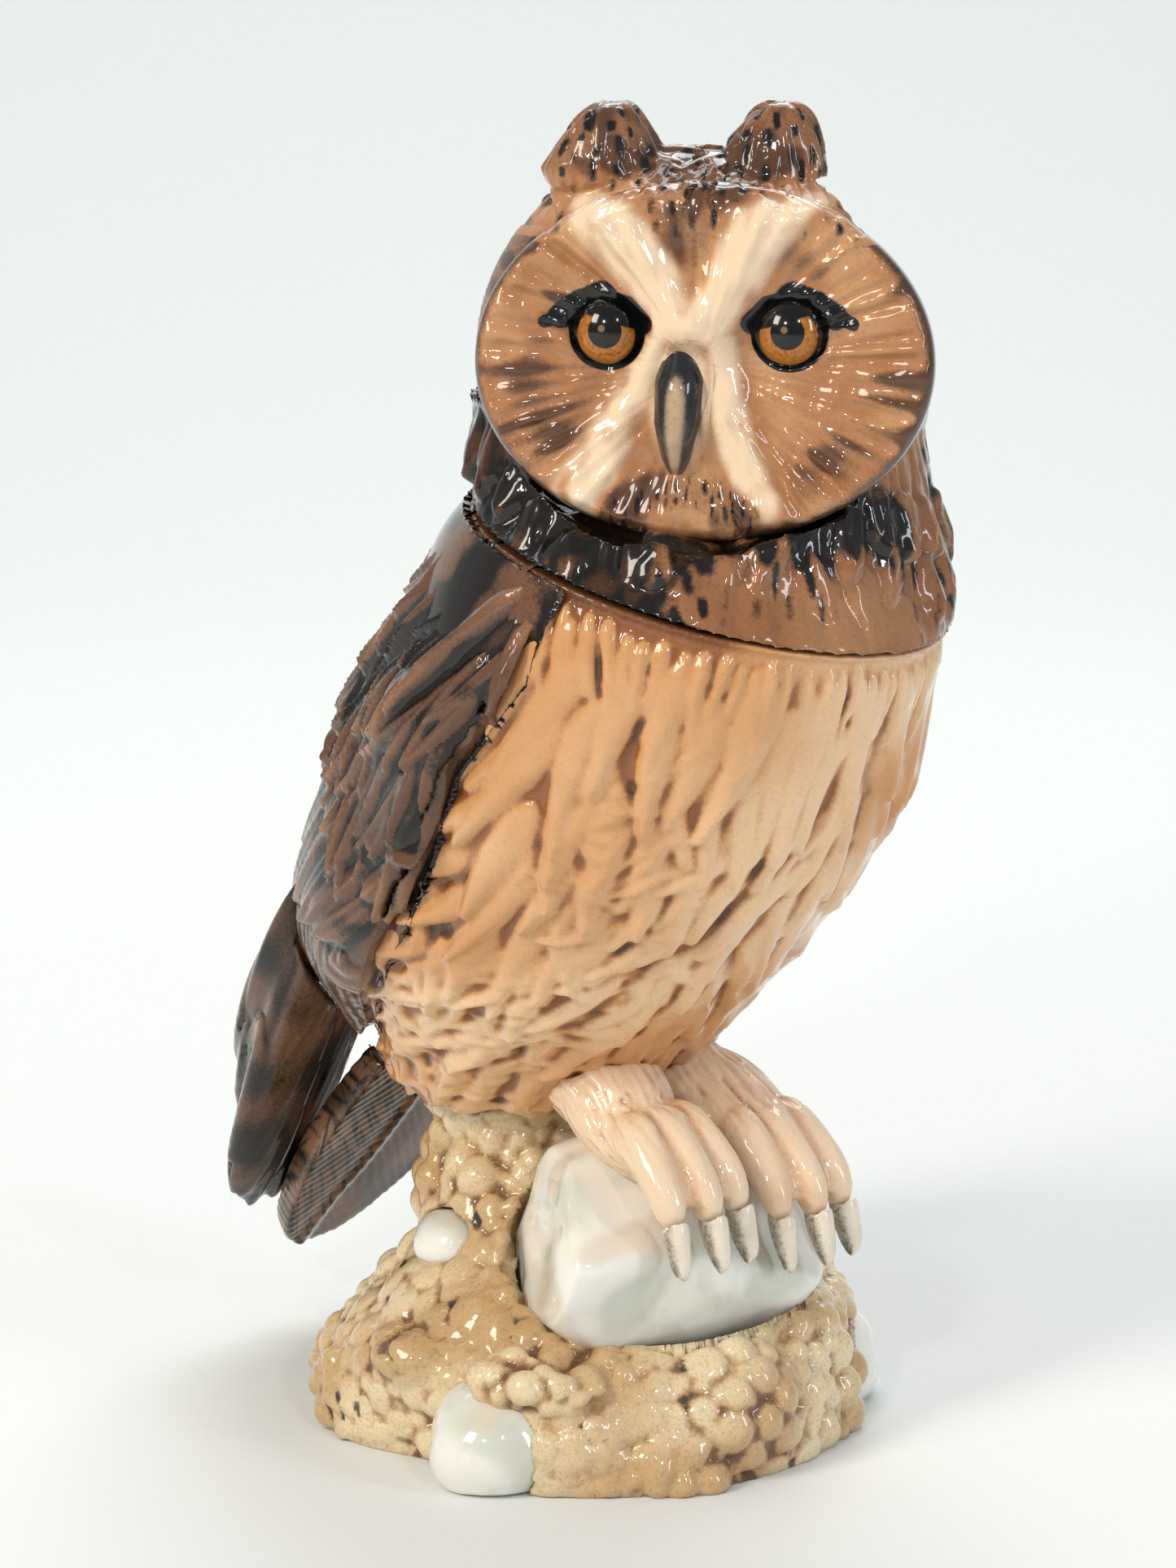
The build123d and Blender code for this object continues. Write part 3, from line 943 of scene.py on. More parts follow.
def make_mound(look):
    """Ground like heaped popcorn: knobs of several sizes, brown and grey-black between them."""
    rng = np.random.default_rng(53)
    base = copied("sandy_mound", ["base_mound"])
    stone = node_middle("front_stone")
    brow = blade(stone + (-3, 1.5, 6), stone + (14, -4.5, 7.0), UP, 7.5, 10)
    foot = blade(stone + (-14, 9, 1), stone + (-5, 6.5, 9), UP, 10, 9)
    bpy.ops.object.select_all(action="DESELECT")
    for part in (brow, foot, base):
        part.select_set(True)
    bpy.context.view_layer.objects.active = base
    bpy.ops.object.join()
    obj = clay(base, look.grain + 0.1)
    co, no = points(obj), normals(obj)
    skin = ((no * (co - np.array((0, 0, 6)))).sum(1) > 0) & (no[:, 2] > -0.75) & (co[:, 2] > 0.3)
    notch = (
        np.exp(-(((np.arctan2(co[:, 1], co[:, 0]) + 2.35) / 0.34) ** 2))
        * np.clip((14 - co[:, 2]) / 8, 0, 1)
    )
    co[:, :2] *= 1 - 0.17 * notch[:, None]
    lobes = Strokes(co, no)
    for root in scatter(co, skin, 12, rng):
        lobes.ball(co[root], rng.uniform(8, 13), rng.uniform(1.5, 3.2))
    knobs = Strokes(co, no)
    for spacing, radius, height in ((4.2, 2.7, 2.5), (2.5, 1.75, 1.9), (1.7, 1.15, 1.2)):
        for root in scatter(co, skin, spacing, rng):
            size = rng.uniform(0.7, 1.25)
            knobs.ball(co[root], radius * size, height * size)
    height = softened(obj, knobs.height, 1)
    plain = np.clip(wave(co, 24, 2) + 0.9, 0.35, 1)
    total = np.where(skin, lobes.height - 2.4 + (height - 1.0) * plain, 0)
    co = co + no * total[:, None]
    co[:, 2] = co[:, 2].clip(0)
    move_points(obj, co)
    shade = np.clip(hollows(obj, height, 16, 1.6) * 1.8 - 0.5, 0, 1)
    cracks = hollows(obj, lobes.height, 30, 2.4)
    smudges = np.clip(wave(co, 9, 31) * 0.8 - 0.05, 0, 1) * np.clip(0.4 + wave(co, 2.6, 33), 0, 1)
    paint(
        obj,
        shade=shade * 0.8 + 0.45 * np.clip(cracks * 1.6 - 0.8, 0, 1) + 0.25 * wave(co, 14, 3),
        dark=smudges * (0.2 + shade) * 0.9 + 0.6 * np.clip(shade + cracks * 0.6 - 0.95, 0, 1),
        warm=0.4 + 0.6 * wave(co, 16, 6),
    )
    glaze = feather_glaze("Sandy ground underglaze", look.tones("mound"), speckle=0.45)
    finish_piece(obj, "bottle", ["base_mound"], glaze)


# --- the head ------------------------------------------------------------------------------


def make_crown(look):
    """The ruff: scalloped lobes with dark dabs.

    Known fault: the skull's filled skin keeps open edges, so the remesh has no inside to hold and
    the crown and nape are lost. They need a closed skin before the clay is made.
    """
    rng = np.random.default_rng(61)
    head = filled(copied("head_feathers", ["head_shell"]), node_middle("head_shell"))
    ruff = copied("ruff_feathers", ["neck_ruff"])
    select_only(head)
    ruff.select_set(True)
    bpy.ops.object.join()
    obj = clay(head, look.grain)
    co, no = points(obj), normals(obj)
    seam = seam_distance(co)
    high = node_box("neck_ruff")[1]
    skin = (seam > 0.3) & (no @ -SEAM_NORMAL < 0.75)
    up = np.clip((co[:, 2] - high[2] - 4) / 14, 0, 1)[:, None]
    along = wavy(co, no, -FACE_FORWARD * up - UP * (1.15 - up), 0.25, 14, 3)
    side = (co - FACE_MIDDLE) @ FACE_SIDE
    ahead = (co - FACE_MIDDLE) @ FACE_FORWARD
    collar = np.clip((high[2] - 2 - co[:, 2]) / 4, 0, 1)
    smooth = (
        np.clip((side + 2) / 12, 0, 1)
        * np.clip((ahead + 14) / 10, 0, 1)
        * np.clip((9 - seam) / 4, 0, 1)
    )
    fine = Strokes(co, no)
    lay_all(fine, scatter(co, skin, 2.0, rng), along, rng, 7, 0.95, 0.6, ramp=0.4, tip=0.6, bend=0.2)
    lobes = Strokes(co, no)
    roots = scatter(co, skin & (seam < 17) & (seam > 5), 4.9, rng)
    lay_all(lobes, roots, along, rng, 8.5, 3.0, 2.4, ramp=0.3, tip=0.4, dome=0.75)
    height = (fine.height + lobes.height * collar) * (1 - 0.65 * smooth)
    height = np.where(skin, softened(obj, height, 2), 0)
    rounding = 0.25 * np.exp(-((seam / 0.9) ** 2))
    push = (height - 0.55 - 0.5 * collar) * np.clip(seam / 3, 0.2, 1) - rounding
    move_points(obj, above_seam(co + no * np.where(skin, push, 0)[:, None]))
    shade = hollows(obj, height, 30, 1.4)
    front = np.clip((ahead + 16) / 10, 0, 1) * collar
    roots = scatter(co, skin & (collar > 0.2), 3.0, rng)
    patchy = np.clip(wave(co, 15, 5) * 0.9 + 0.55, 0, 1)
    dabs = dabs_on(co, no, roots, along, 3.4, 1.0, rng) * patchy
    # Partly real, partly painted shadow: a dark band just beneath the facial disc. It is the black line
    # painted there, together with painted shadow of the disc's overhang.
    under = np.exp(-((np.clip(FACE_MIDDLE[2] - 18.5 - co[:, 2], -20, 20) / 4.0) ** 2)) * front
    left_part = np.clip((4 - side) / 12, 0, 1)
    line = np.exp(-((seam / 0.5) ** 2)) * (0.1 + 0.5 * left_part)
    crown = (1 - collar) * (0.5 + 0.5 * shade + 0.3 * wave(co, 12, 2))
    behind = np.clip((-14 - ahead) / 10, 0, 1) * collar * (0.35 + 0.4 * shade)
    paint(
        obj,
        shade=shade * 0.7 + (0.75 * left_part + 0.1) * collar + 0.5 * (1 - collar) - 0.2 * smooth,
        dark=(
            dabs * collar * (1 - 0.3 * smooth)
            + 0.4 * left_part * collar * (0.4 + shade)
            + crown
            + under * (0.35 + shade)
            + 0.7 * line
            + behind
        ),
        warm=0.6 + 0.3 * wave(co, 15, 8) - 0.2 * smooth,
    )
    glaze = feather_glaze("Hand-painted ruff and crown underglaze", look.tones("ruff"))
    finish_piece(obj, "head", ["head_shell", "neck_ruff"], glaze)


def hill(u, w, centre, radii, lean=0.0):
    """Smooth round hill over the face, 1 at its centre."""
    c, s = math.cos(lean), math.sin(lean)
    du, dw = u - centre[0], w - centre[1]
    x, y = du * c + dw * s, dw * c - du * s
    return np.exp(-((x / radii[0]) ** 2) - (y / radii[1]) ** 2)


def ridge(u, w, path, width, sharp=2.0):
    """Smooth ridge along a path over the face; width may change from end to end."""
    best = np.zeros(len(u))
    path = np.array(path, dtype=float)
    widths = np.linspace(*np.broadcast_to(width, 2), len(path))
    for start, end, first, last in zip(path[:-1], path[1:], widths[:-1], widths[1:]):
        run = end - start
        share = np.clip(((u - start[0]) * run[0] + (w - start[1]) * run[1]) / (run @ run), 0, 1)
        away = np.hypot(u - start[0] - share * run[0], w - start[1] - share * run[1])
        best = np.maximum(best, np.exp(-((away / (first + share * (last - first))) ** sharp)))
    return best


EYE_AT = {"right": (-11.2, 3.8), "left": (10.1, 3.9)}  # across and above the disc's middle
BEAK_AT = -2.4
BROWS = {
    "right": [(-14.5, 20.5), (-11.5, 17.0), (-8.0, 13.0), (-5.2, 8.8), (-3.4, 5.0)],
    "left": [(11.4, 21.5), (9.0, 18.5), (6.6, 15.2), (3.8, 10.0), (0.6, 5.0)],
}
BEAK_STRIPES = {
    "right": [(-5.8, 2.0), (-8.0, -3.0), (-10.6, -8.5), (-14.2, -15.0)],
    "left": [(2.2, 2.5), (2.8, -4.0), (4.2, -10.0), (7.0, -16.0)],
}
FACE_HALF = (27.0, 21.0)


def face_depth(u, w):
    """Height of the modelled face above the disc's flat front."""
    depth = -1.6 * np.clip(1 - (u / FACE_HALF[0]) ** 2 - (w / FACE_HALF[1]) ** 2, 0, 1)
    for side, (at_u, at_w) in EYE_AT.items():
        depth -= 1.7 * hill(u, w, (at_u, at_w - 0.5), (7.5, 5.5))
        depth += 3.0 * ridge(u, w, BROWS[side], (3.9, 3.0))
        depth += 1.3 * ridge(u, w, BEAK_STRIPES[side], (2.0, 3.4))
        lid = [
            (at_u - 5.2, at_w + 0.8),
            (at_u - 2.5, at_w + 3.9),
            (at_u + 2.2, at_w + 4.1),
            (at_u + 5.2, at_w + 1.2),
        ]
        depth += 0.9 * ridge(u, w, lid, 1.3)
        pouch = [(at_u - 4.8, at_w - 2.2), (at_u, at_w - 5.2), (at_u + 4.8, at_w - 2.4)]
        depth += 0.55 * ridge(u, w, pouch, 1.1)
    depth += 2.0 * hill(u, w, (BEAK_AT, -3.0), (3.6, 9.0))
    depth += 1.6 * hill(u, w, (BEAK_AT, -17.2), (7.8, 3.2))
    depth += 1.6 * hill(u, w, (BEAK_AT + 0.5, 17.5), (5.5, 5.5))
    depth -= 0.8 * ridge(u, w, [(-9.5, 0.5), (-12.0, -5.5), (-17.5, -11.0)], 1.6)
    depth -= 0.8 * ridge(u, w, [(4.8, 0.0), (7.0, -6.0), (10.0, -12.5)], 1.6)
    return depth


def radial_ridges(u, w, seed):
    """Feather ridges that spread from the eyes to the rim."""
    rng = np.random.default_rng(seed)
    angle = np.arctan2(w / FACE_HALF[1], u / FACE_HALF[0])
    total = np.zeros(len(u))
    for _ in range(6):
        total += np.sin(angle * rng.integers(18, 64) + rng.uniform(0, 6.3)) * rng.uniform(0.5, 1)
    return total / 2.6


def make_face(look):
    """The facial disc with brows, eye sockets, beak stripes and chin, and the two ear tufts."""
    rng = np.random.default_rng(71)
    nodes = ["facial_disc", "right_ear_tuft", "left_ear_tuft"]
    skull = filled(copied("skull", ["head_shell"]), node_middle("head_shell"))
    select_only(skull)
    bpy.ops.object.mode_set(mode="EDIT")
    bpy.ops.mesh.select_all(action="SELECT")
    place = Vector(FACE_MIDDLE - FACE_FORWARD * 12.5) * MM
    bpy.ops.mesh.bisect(plane_co=place, plane_no=Vector(FACE_FORWARD), use_fill=True, clear_inner=True)
    bpy.ops.mesh.select_all(action="SELECT")
    bpy.ops.mesh.bisect(
        plane_co=Vector((0, 0, (FACE_MIDDLE[2] - 6) * MM)),
        plane_no=Vector((0, 0, 1)),
        use_fill=True,
        clear_inner=True,
    )
    bpy.ops.object.mode_set(mode="OBJECT")
    disc = copied("facial_disc_skin", nodes + ["right_eye", "left_eye", "beak"])
    bpy.ops.object.select_all(action="DESELECT")
    skull.select_set(True)
    disc.select_set(True)
    bpy.context.view_layer.objects.active = disc
    bpy.ops.object.join()
    obj = clay(disc, look.face_grain, soften=8)
    co, no = points(obj), normals(obj)
    u = (co - FACE_MIDDLE) @ FACE_SIDE
    w = co[:, 2] - FACE_MIDDLE[2]
    out = (co - FACE_MIDDLE) @ FACE_FORWARD
    reach = np.hypot(u / FACE_HALF[0], w / FACE_HALF[1])
    for axis in (-10.6, 9.8):
        own = (w > 16) & (np.sign(u) == np.sign(axis)) & (out > -14)
        spread = np.interp(w, (16, 22, 28, 34), (1.0, 1.3, 0.92, 0.5))
        co = co + FACE_SIDE * ((u - axis) * (spread - 1) * own * (np.abs(u - axis) < 8))[:, None]
    move_points(obj, co)
    u = (co - FACE_MIDDLE) @ FACE_SIDE
    tufted = np.clip((w - 16.5) / 3.5, 0, 1) * np.clip((16 - np.abs(u)) / 4, 0, 1)
    front = np.clip((no @ FACE_FORWARD - 0.05) / 0.3, 0, 1) * (out > 0)
    front = np.maximum(front, (out > 3.2) & (reach < 0.9))
    inside = np.clip((0.985 - reach) / 0.07, 0, 1) * front * (1 - tufted)
    flat = 3.0
    target = flat + face_depth(u, w)
    rim = np.clip((reach - 0.5) / 0.3, 0, 1) * np.clip((1.02 - reach) / 0.05, 0, 1)
    target = (
        target + 0.45 * radial_ridges(u, w, 3) * rim
        + 0.14 * radial_ridges(u, w, 4) * np.clip(reach / 0.6, 0, 1)
    )
    target = target + 0.25 * wave(co, 4.5, 13)
    co = co + FACE_FORWARD * ((target - out) * inside)[:, None]
    move_points(obj, co)
    no = normals(obj)
    tuft_skin = (w > 15) & (out > -14)
    down = lie(no, -UP)
    hairs = Strokes(co, no)
    lay_all(
        hairs,
        scatter(co, tuft_skin & (inside < 0.4), 1.6, rng),
        down,
        rng,
        5,
        0.8,
        0.5,
        ramp=0.5,
        tip=0.7,
    )
    hair = softened(obj, hairs.height, 1) * np.clip((w - 15) / 3, 0, 1) * (1 - inside)
    wrinkled = out < 2.0
    move_points(
        obj,
        co + no * ((hair - 0.2) * np.where(wrinkled | (w > 18), 1, 0.5) * (w > 15))[:, None],
    )
    paint_face(obj, u, w, reach, hair, inside, down, rng)
    finish_piece(obj, "head", nodes, face_glaze(look))


def paint_face(obj, u, w, reach, hair, inside, down, rng):
    """Lays the face's underglaze masks: cream, warm, brown patches, and black round the eyes."""
    co, no = points(obj), normals(obj)
    cream = np.zeros(len(u))
    black = np.zeros(len(u))
    for side, (at_u, at_w) in EYE_AT.items():
        cream = np.maximum(cream, ridge(u, w, BROWS[side], (4.3, 3.4), 3.0))
        cream = np.maximum(
            cream,
            0.85 * ridge(u, w, BEAK_STRIPES[side], (2.2, 4.0 if side == "right" else 3.0), 2.4),
        )
        away = 1 if side == "left" else -1
        black = np.maximum(black, np.clip((4.75 - np.hypot(u - at_u, w - at_w + 0.2)) / 0.4, 0, 1))
        lid = [(-4.3, 0.9), (-2.4, 3.0), (0.4, 3.9), (3.2, 3.0), (5.4, 1.7), (7.4, 0.9)]
        lid = [(at_u + away * across, at_w + rise) for across, rise in lid]
        black = np.maximum(black, ridge(u, w, lid, (1.4, 0.8), 4.0))
        black = np.maximum(black, ridge(u, w, lid[2:5], (2.0, 1.6), 4.0))
    cream = np.maximum(cream, 0.9 * hill(u, w, (BEAK_AT, -3), (5.2, 9)))
    chin = ridge(
        u,
        w,
        [(-9.5, -16.8), (-5.5, -15.2), (BEAK_AT, -14.6), (1.5, -15.4), (5.0, -17.6)],
        2.4,
        4.0,
    )
    cream = cream * (1 - 0.9 * chin)
    ridges = radial_ridges(u, w, 3)
    cream = cream * np.clip((20.5 - w) / 2.5, 0, 1)
    cream = cream * np.clip(0.92 + 0.25 * wave(co, 3.5, 19) + 0.1 * ridges, 0, 1)
    patches = (
        np.clip(wave(co, 8, 17) * 0.8 + ridges * 0.45 - 0.05, 0, 1)
        * np.clip((reach - 0.35) / 0.35, 0, 1)
    )
    low_patches = hill(u, w, (-16, -8), (6, 5), 0.6) + hill(u, w, (15.5, -11.5), (7.5, 3.2), 0.5)
    patches = np.clip(patches + low_patches * (0.55 + 0.45 * ridges), 0, 1) * (1 - cream)
    forehead = ridge(u, w, [(-5.0, 22), (-1.0, 15.0), (4.0, 22)], 4.6, 3.0) * (w > 9) * (1 - cream)
    roots = scatter(co, (w > 13) & (np.abs(u) < 18) & (cream < 0.3), 2.3, rng)
    dabs = dabs_on(co, no, roots, down, 2.0, 0.62, rng) * np.clip((w - 13) / 2, 0, 1) * (1 - cream)
    roots = scatter(co, (chin > 0.4) & (no @ FACE_FORWARD > 0), 1.3, rng)
    dabs = np.maximum(dabs, dabs_on(co, no, roots, down, 2.0, 0.42, rng) * chin)
    tufts = np.clip((w - 19.5) / 3, 0, 1)
    edge = np.exp(-(((reach - 1.0) / 0.03) ** 2)) * (w < 14)
    back = 1 - np.clip(inside + (w > 14), 0, 1)
    paint(
        obj,
        cream=cream * (1 - black),
        black=black,
        shade=1.1 * patches + 0.45 * edge + 0.5 * forehead + 0.55 * tufts + 0.5 * chin + 0.4 * back,
        dark=0.85 * dabs + 0.35 * tufts * np.clip(1 - hair * 2, 0, 1) + 0.5 * back,
        warm=0.5 + 0.4 * wave(co, 13, 4) + 0.15 * ridges,
    )


def face_glaze(look):
    """Glazed earthenware: cream slip, warm airbrushing and sprayed brown, with brushed black."""
    material, tree = new_material("Hand-painted face underglaze")
    cream, warm, deep, black = look.tones("face")
    place = add(tree, "ShaderNodeTexCoord")["Object"]
    spray = {"Vector": place, "Scale": per_mm(0.45), "Detail": 4.0, "Roughness": 0.75}
    grain = add(tree, "ShaderNodeTexNoise", spray)["Fac"]
    clouds = add(
        tree,
        "ShaderNodeTexNoise",
        {"Vector": place, "Scale": per_mm(6.0), "Detail": 4.0},
    )["Fac"]
    masks = {}
    for name, share in (("shade", 0.5), ("cream", 0.3), ("dark", 0.6), ("black", 0.35)):
        mask = add(tree, "ShaderNodeAttribute", attribute_name=name)["Fac"]
        masks[name] = add(
            tree,
            "ShaderNodeMath",
            {0: grain, 1: share, 2: mask},
            operation="MULTIPLY_ADD",
        )[0]
    warmth = add(tree, "ShaderNodeAttribute", attribute_name="warm")["Fac"]
    colour = coats(
        tree,
        warm,
        (warmth, 0.35, 1.0, 0.8, tuple(look.face_tan)),
        (clouds, 0.45, 0.75, 0.5, tuple(look.face_tan)),
        (masks["shade"], 0.4, 1.2, 1.0, deep),
        (grain, 0.5, 0.75, 0.4, deep),
        (masks["cream"], 0.4, 0.95, 1.0, cream),
        (masks["dark"], 0.6, 1.05, 1.0, tuple(look.ruff_dark)),
        (masks["black"], 0.5, 0.75, 1.0, black),
    )
    return glaze_over(material, colour)


def face_point(u, w, out):
    """A point of the face: across, above and in front of the disc's middle."""
    return FACE_MIDDLE + FACE_SIDE * u + UP * w + FACE_FORWARD * out


def make_eye(look, side):
    """Domed eyeball; iris, pupil and the black lid are painted on it, with painted shadow of the lid over
    the top of the iris.
    """
    at_u, at_w = EYE_AT[side]
    centre = face_point(at_u, at_w, -0.7)
    bpy.ops.object.select_all(action="DESELECT")
    bpy.ops.mesh.primitive_uv_sphere_add(
        segments=64,
        ring_count=40,
        radius=4.5 * MM,
        location=Vector(centre) * MM,
    )
    obj = bpy.context.active_object
    bpy.ops.object.transform_apply(location=True, rotation=True, scale=True)
    obj.name = obj.data.name = f"{side}_eyeball"
    bpy.ops.object.shade_smooth()
    material = eye_glaze(look, side, centre)
    finish_piece(obj, "head", [f"{side}_eye"], material)


def eye_glaze(look, side, centre):
    """Glazed eye painted with underglaze: amber iris, black pupil and rim, black above the lid's line (the
    lid's black and, over the top of the iris, painted shadow of the lid), and a pale painted highlight in
    the pupil.
    """
    material, tree = new_material(f"Painted {side} eye underglaze")
    amber, rim, glint = tuple(look.eye_amber), tuple(look.eye_rim), tuple(look.eye_glint)
    black = tuple(look.face_dark)
    inward = -1 if side == "left" else 1
    place = add(tree, "ShaderNodeTexCoord")["Object"]
    streaks = add(
        tree,
        "ShaderNodeTexNoise",
        {"Vector": place, "Scale": per_mm(0.5), "Detail": 4.0},
    )["Fac"]
    middle = tuple(Vector(centre) * MM)
    turn = add(tree, "ShaderNodeVectorMath", {0: place, 1: middle}, operation="SUBTRACT")[0]
    spans = {}
    for name, way in (("across", FACE_SIDE), ("up", UP), ("lid", unit(UP + FACE_SIDE * inward * 0.3))):
        axis = tuple(Vector(way) / MM)
        spans[name] = add(
            tree,
            "ShaderNodeVectorMath",
            {0: turn, 1: axis},
            operation="DOT_PRODUCT",
        )["Value"]
    rings = {}
    for name, rise, shift in (("iris", -0.5, 0.0), ("pupil", 0.0, 0.0), ("glint", 0.35, -0.35)):
        up = add(tree, "ShaderNodeMath", {0: spans["up"], 1: rise}, operation="SUBTRACT")[0]
        across = add(tree, "ShaderNodeMath", {0: spans["across"], 1: shift}, operation="SUBTRACT")[0]
        flat = add(tree, "ShaderNodeCombineXYZ", {0: across, 1: up})[0]
        rings[name] = add(tree, "ShaderNodeVectorMath", {0: flat}, operation="LENGTH")["Value"]
    colour = coats(
        tree,
        amber,
        (streaks, 0.4, 0.7, 0.7, rim),
        (rings["iris"], 2.6, 3.3, 0.5, rim),
        (rings["pupil"], 2.06, 1.92, 1.0, black),
        (rings["iris"], 3.3, 3.45, 1.0, black),
        # Partly real, partly painted shadow: black above the slanted lid line is the lid's own black paint
        # and, over the top of the iris, painted shadow of the lid.
        (spans["lid"], 1.05, 1.3, 1.0, black),
        # Painted highlight: a soft pale glint in each pupil, a catchlight put into the eye's colour.
        (rings["glint"], 0.5, 0.3, 0.6, glint),
    )
    return glaze_over(material, colour, dent=0.0, rough=0.2)


def make_beak(look):
    """Narrow hooked beak: humped in the middle, with a curved tip."""
    bpy.ops.object.select_all(action="DESELECT")
    bpy.ops.mesh.primitive_uv_sphere_add(segments=48, ring_count=48, radius=1.0)
    obj = bpy.context.active_object
    obj.name = obj.data.name = "hooked_beak"
    ball = points(obj) * MM
    share = np.clip((1 - ball[:, 2]) / 2, 0, 1)
    round_ = np.hypot(ball[:, 0], ball[:, 1]).clip(1e-6)
    level = np.sqrt(np.clip(1 - (2 * share - 1) ** 2, 0, 1)).clip(1e-6)
    x, y = ball[:, 0] / level, -ball[:, 1] / level
    half = 3.0 * np.interp(
        share,
        (0, 0.08, 0.3, 0.6, 0.85, 0.96, 1),
        (0, 0.55, 0.95, 0.9, 0.55, 0.25, 0),
    )
    deep = 3.6 * np.interp(share, (0, 0.1, 0.35, 0.7, 0.9, 1), (0, 0.55, 0.95, 0.9, 0.5, 0))
    lean = np.interp(share, (0, 0.35, 0.7, 0.9, 1), (1.4, 3.0, 3.6, 3.0, 2.1))
    u = BEAK_AT + x * half * (1 - 0.25 * np.clip(y, 0, 1)) * (round_ > 1e-5) - 0.5 * share
    out = lean + y * deep * 0.8
    w = 3.4 - share * 17.0
    place = FACE_MIDDLE + FACE_SIDE * u[:, None] + UP * w[:, None] + FACE_FORWARD * out[:, None]
    move_points(obj, place)
    bpy.ops.object.mode_set(mode="EDIT")
    bpy.ops.mesh.select_all(action="SELECT")
    bpy.ops.mesh.normals_make_consistent(inside=False)
    bpy.ops.object.mode_set(mode="OBJECT")
    bpy.ops.object.shade_smooth()
    middle = (
        np.clip(1 - np.abs(x) * 1.5, 0, 1)
        * np.clip((share - 0.22) / 0.2, 0, 1)
        * np.clip((1.05 - share) / 0.2, 0, 1)
    )
    paint(
        obj,
        shade=1 - middle,
        dark=np.clip(0.62 - middle - share * 0.35, 0, 1) * 1.6,
        warm=0.4 + 0.3 * share,
    )
    glaze = feather_glaze("Horn-grey beak underglaze", look.tones("beak"), speckle=0.25)
    finish_piece(obj, "head", ["beak"], glaze)


def finish_neck(look):
    """The bored neck stays bare biscuit, and its sleeve is fine-grained agglomerated cork."""
    # Unglazed earthenware: chalky and matt, with a faint tooth from the plaster mould.
    biscuit, tree = new_material("Bare biscuit earthenware")
    place = add(tree, "ShaderNodeTexCoord")["Object"]
    tooth = add(
        tree,
        "ShaderNodeTexNoise",
        {"Vector": place, "Scale": per_mm(0.4), "Detail": 4.0},
    )["Fac"]
    colour = coats(tree, tuple(look.biscuit), (tooth, 0.4, 0.7, 0.5, linear("#cdb699")))
    bump = add(tree, "ShaderNodeBump", {"Strength": 0.4, "Distance": 0.05 * MM, "Height": tooth})[0]
    matt = {"Base Color": colour, "Normal": bump, "Roughness": 0.85, "IOR": 1.5}
    add(tree, "ShaderNodeOutputMaterial", {"Surface": add(tree, "ShaderNodeBsdfPrincipled", matt)[0]})
    # Pressed cork: grains a millimetre or so across, some of them dark.
    cork, tree = new_material("Agglomerated cork")
    place = add(tree, "ShaderNodeTexCoord")["Object"]
    grains = add(tree, "ShaderNodeTexVoronoi", {"Vector": place, "Scale": per_mm(1.2)})
    flecks = add(
        tree,
        "ShaderNodeTexNoise",
        {"Vector": place, "Scale": per_mm(0.8), "Detail": 4.0},
    )["Fac"]
    colour = coats(
        tree,
        tuple(look.cork),
        (grains["Color"], 0.2, 0.8, 1.0, linear("#a87848")),
        (flecks, 0.6, 0.75, 1.0, linear("#6b4526")),
    )
    bump = add(
        tree,
        "ShaderNodeBump",
        {"Strength": 0.5, "Distance": 0.1 * MM, "Height": grains["Distance"]},
    )[0]
    matt = {"Base Color": colour, "Normal": bump, "Roughness": 0.8, "IOR": 1.45}
    add(tree, "ShaderNodeOutputMaterial", {"Surface": add(tree, "ShaderNodeBsdfPrincipled", matt)[0]})
    for node, material in (("neck_collar", biscuit), ("cork_sleeve", cork)):
        for slot in NODES[node].material_slots:
            slot.material = material


# --- the stage -----------------------------------------------------------------------------


def plain_material(name, code, rough):
    material, tree = new_material(name)
    matt = {"Base Color": linear(code), "Roughness": rough, "IOR": 1.45}
    add(tree, "ShaderNodeOutputMaterial", {"Surface": add(tree, "ShaderNodeBsdfPrincipled", matt)[0]})
    return material


def soft_light(name, place, aim, size, watts, tint="#ffffff"):
    """A square soft box that faces its aim; places are metres."""
    bpy.ops.object.select_all(action="DESELECT")
    bpy.ops.object.light_add(type="AREA", location=place)
    light = bpy.context.active_object
    light.name = name
    light.data.shape = "RECTANGLE"
    light.data.size, light.data.size_y = size
    light.data.energy = watts
    light.data.color = linear(tint)[:3]
    way = Vector(aim) - Vector(place)
    light.rotation_euler = way.to_track_quat("-Z", "Y").to_euler()


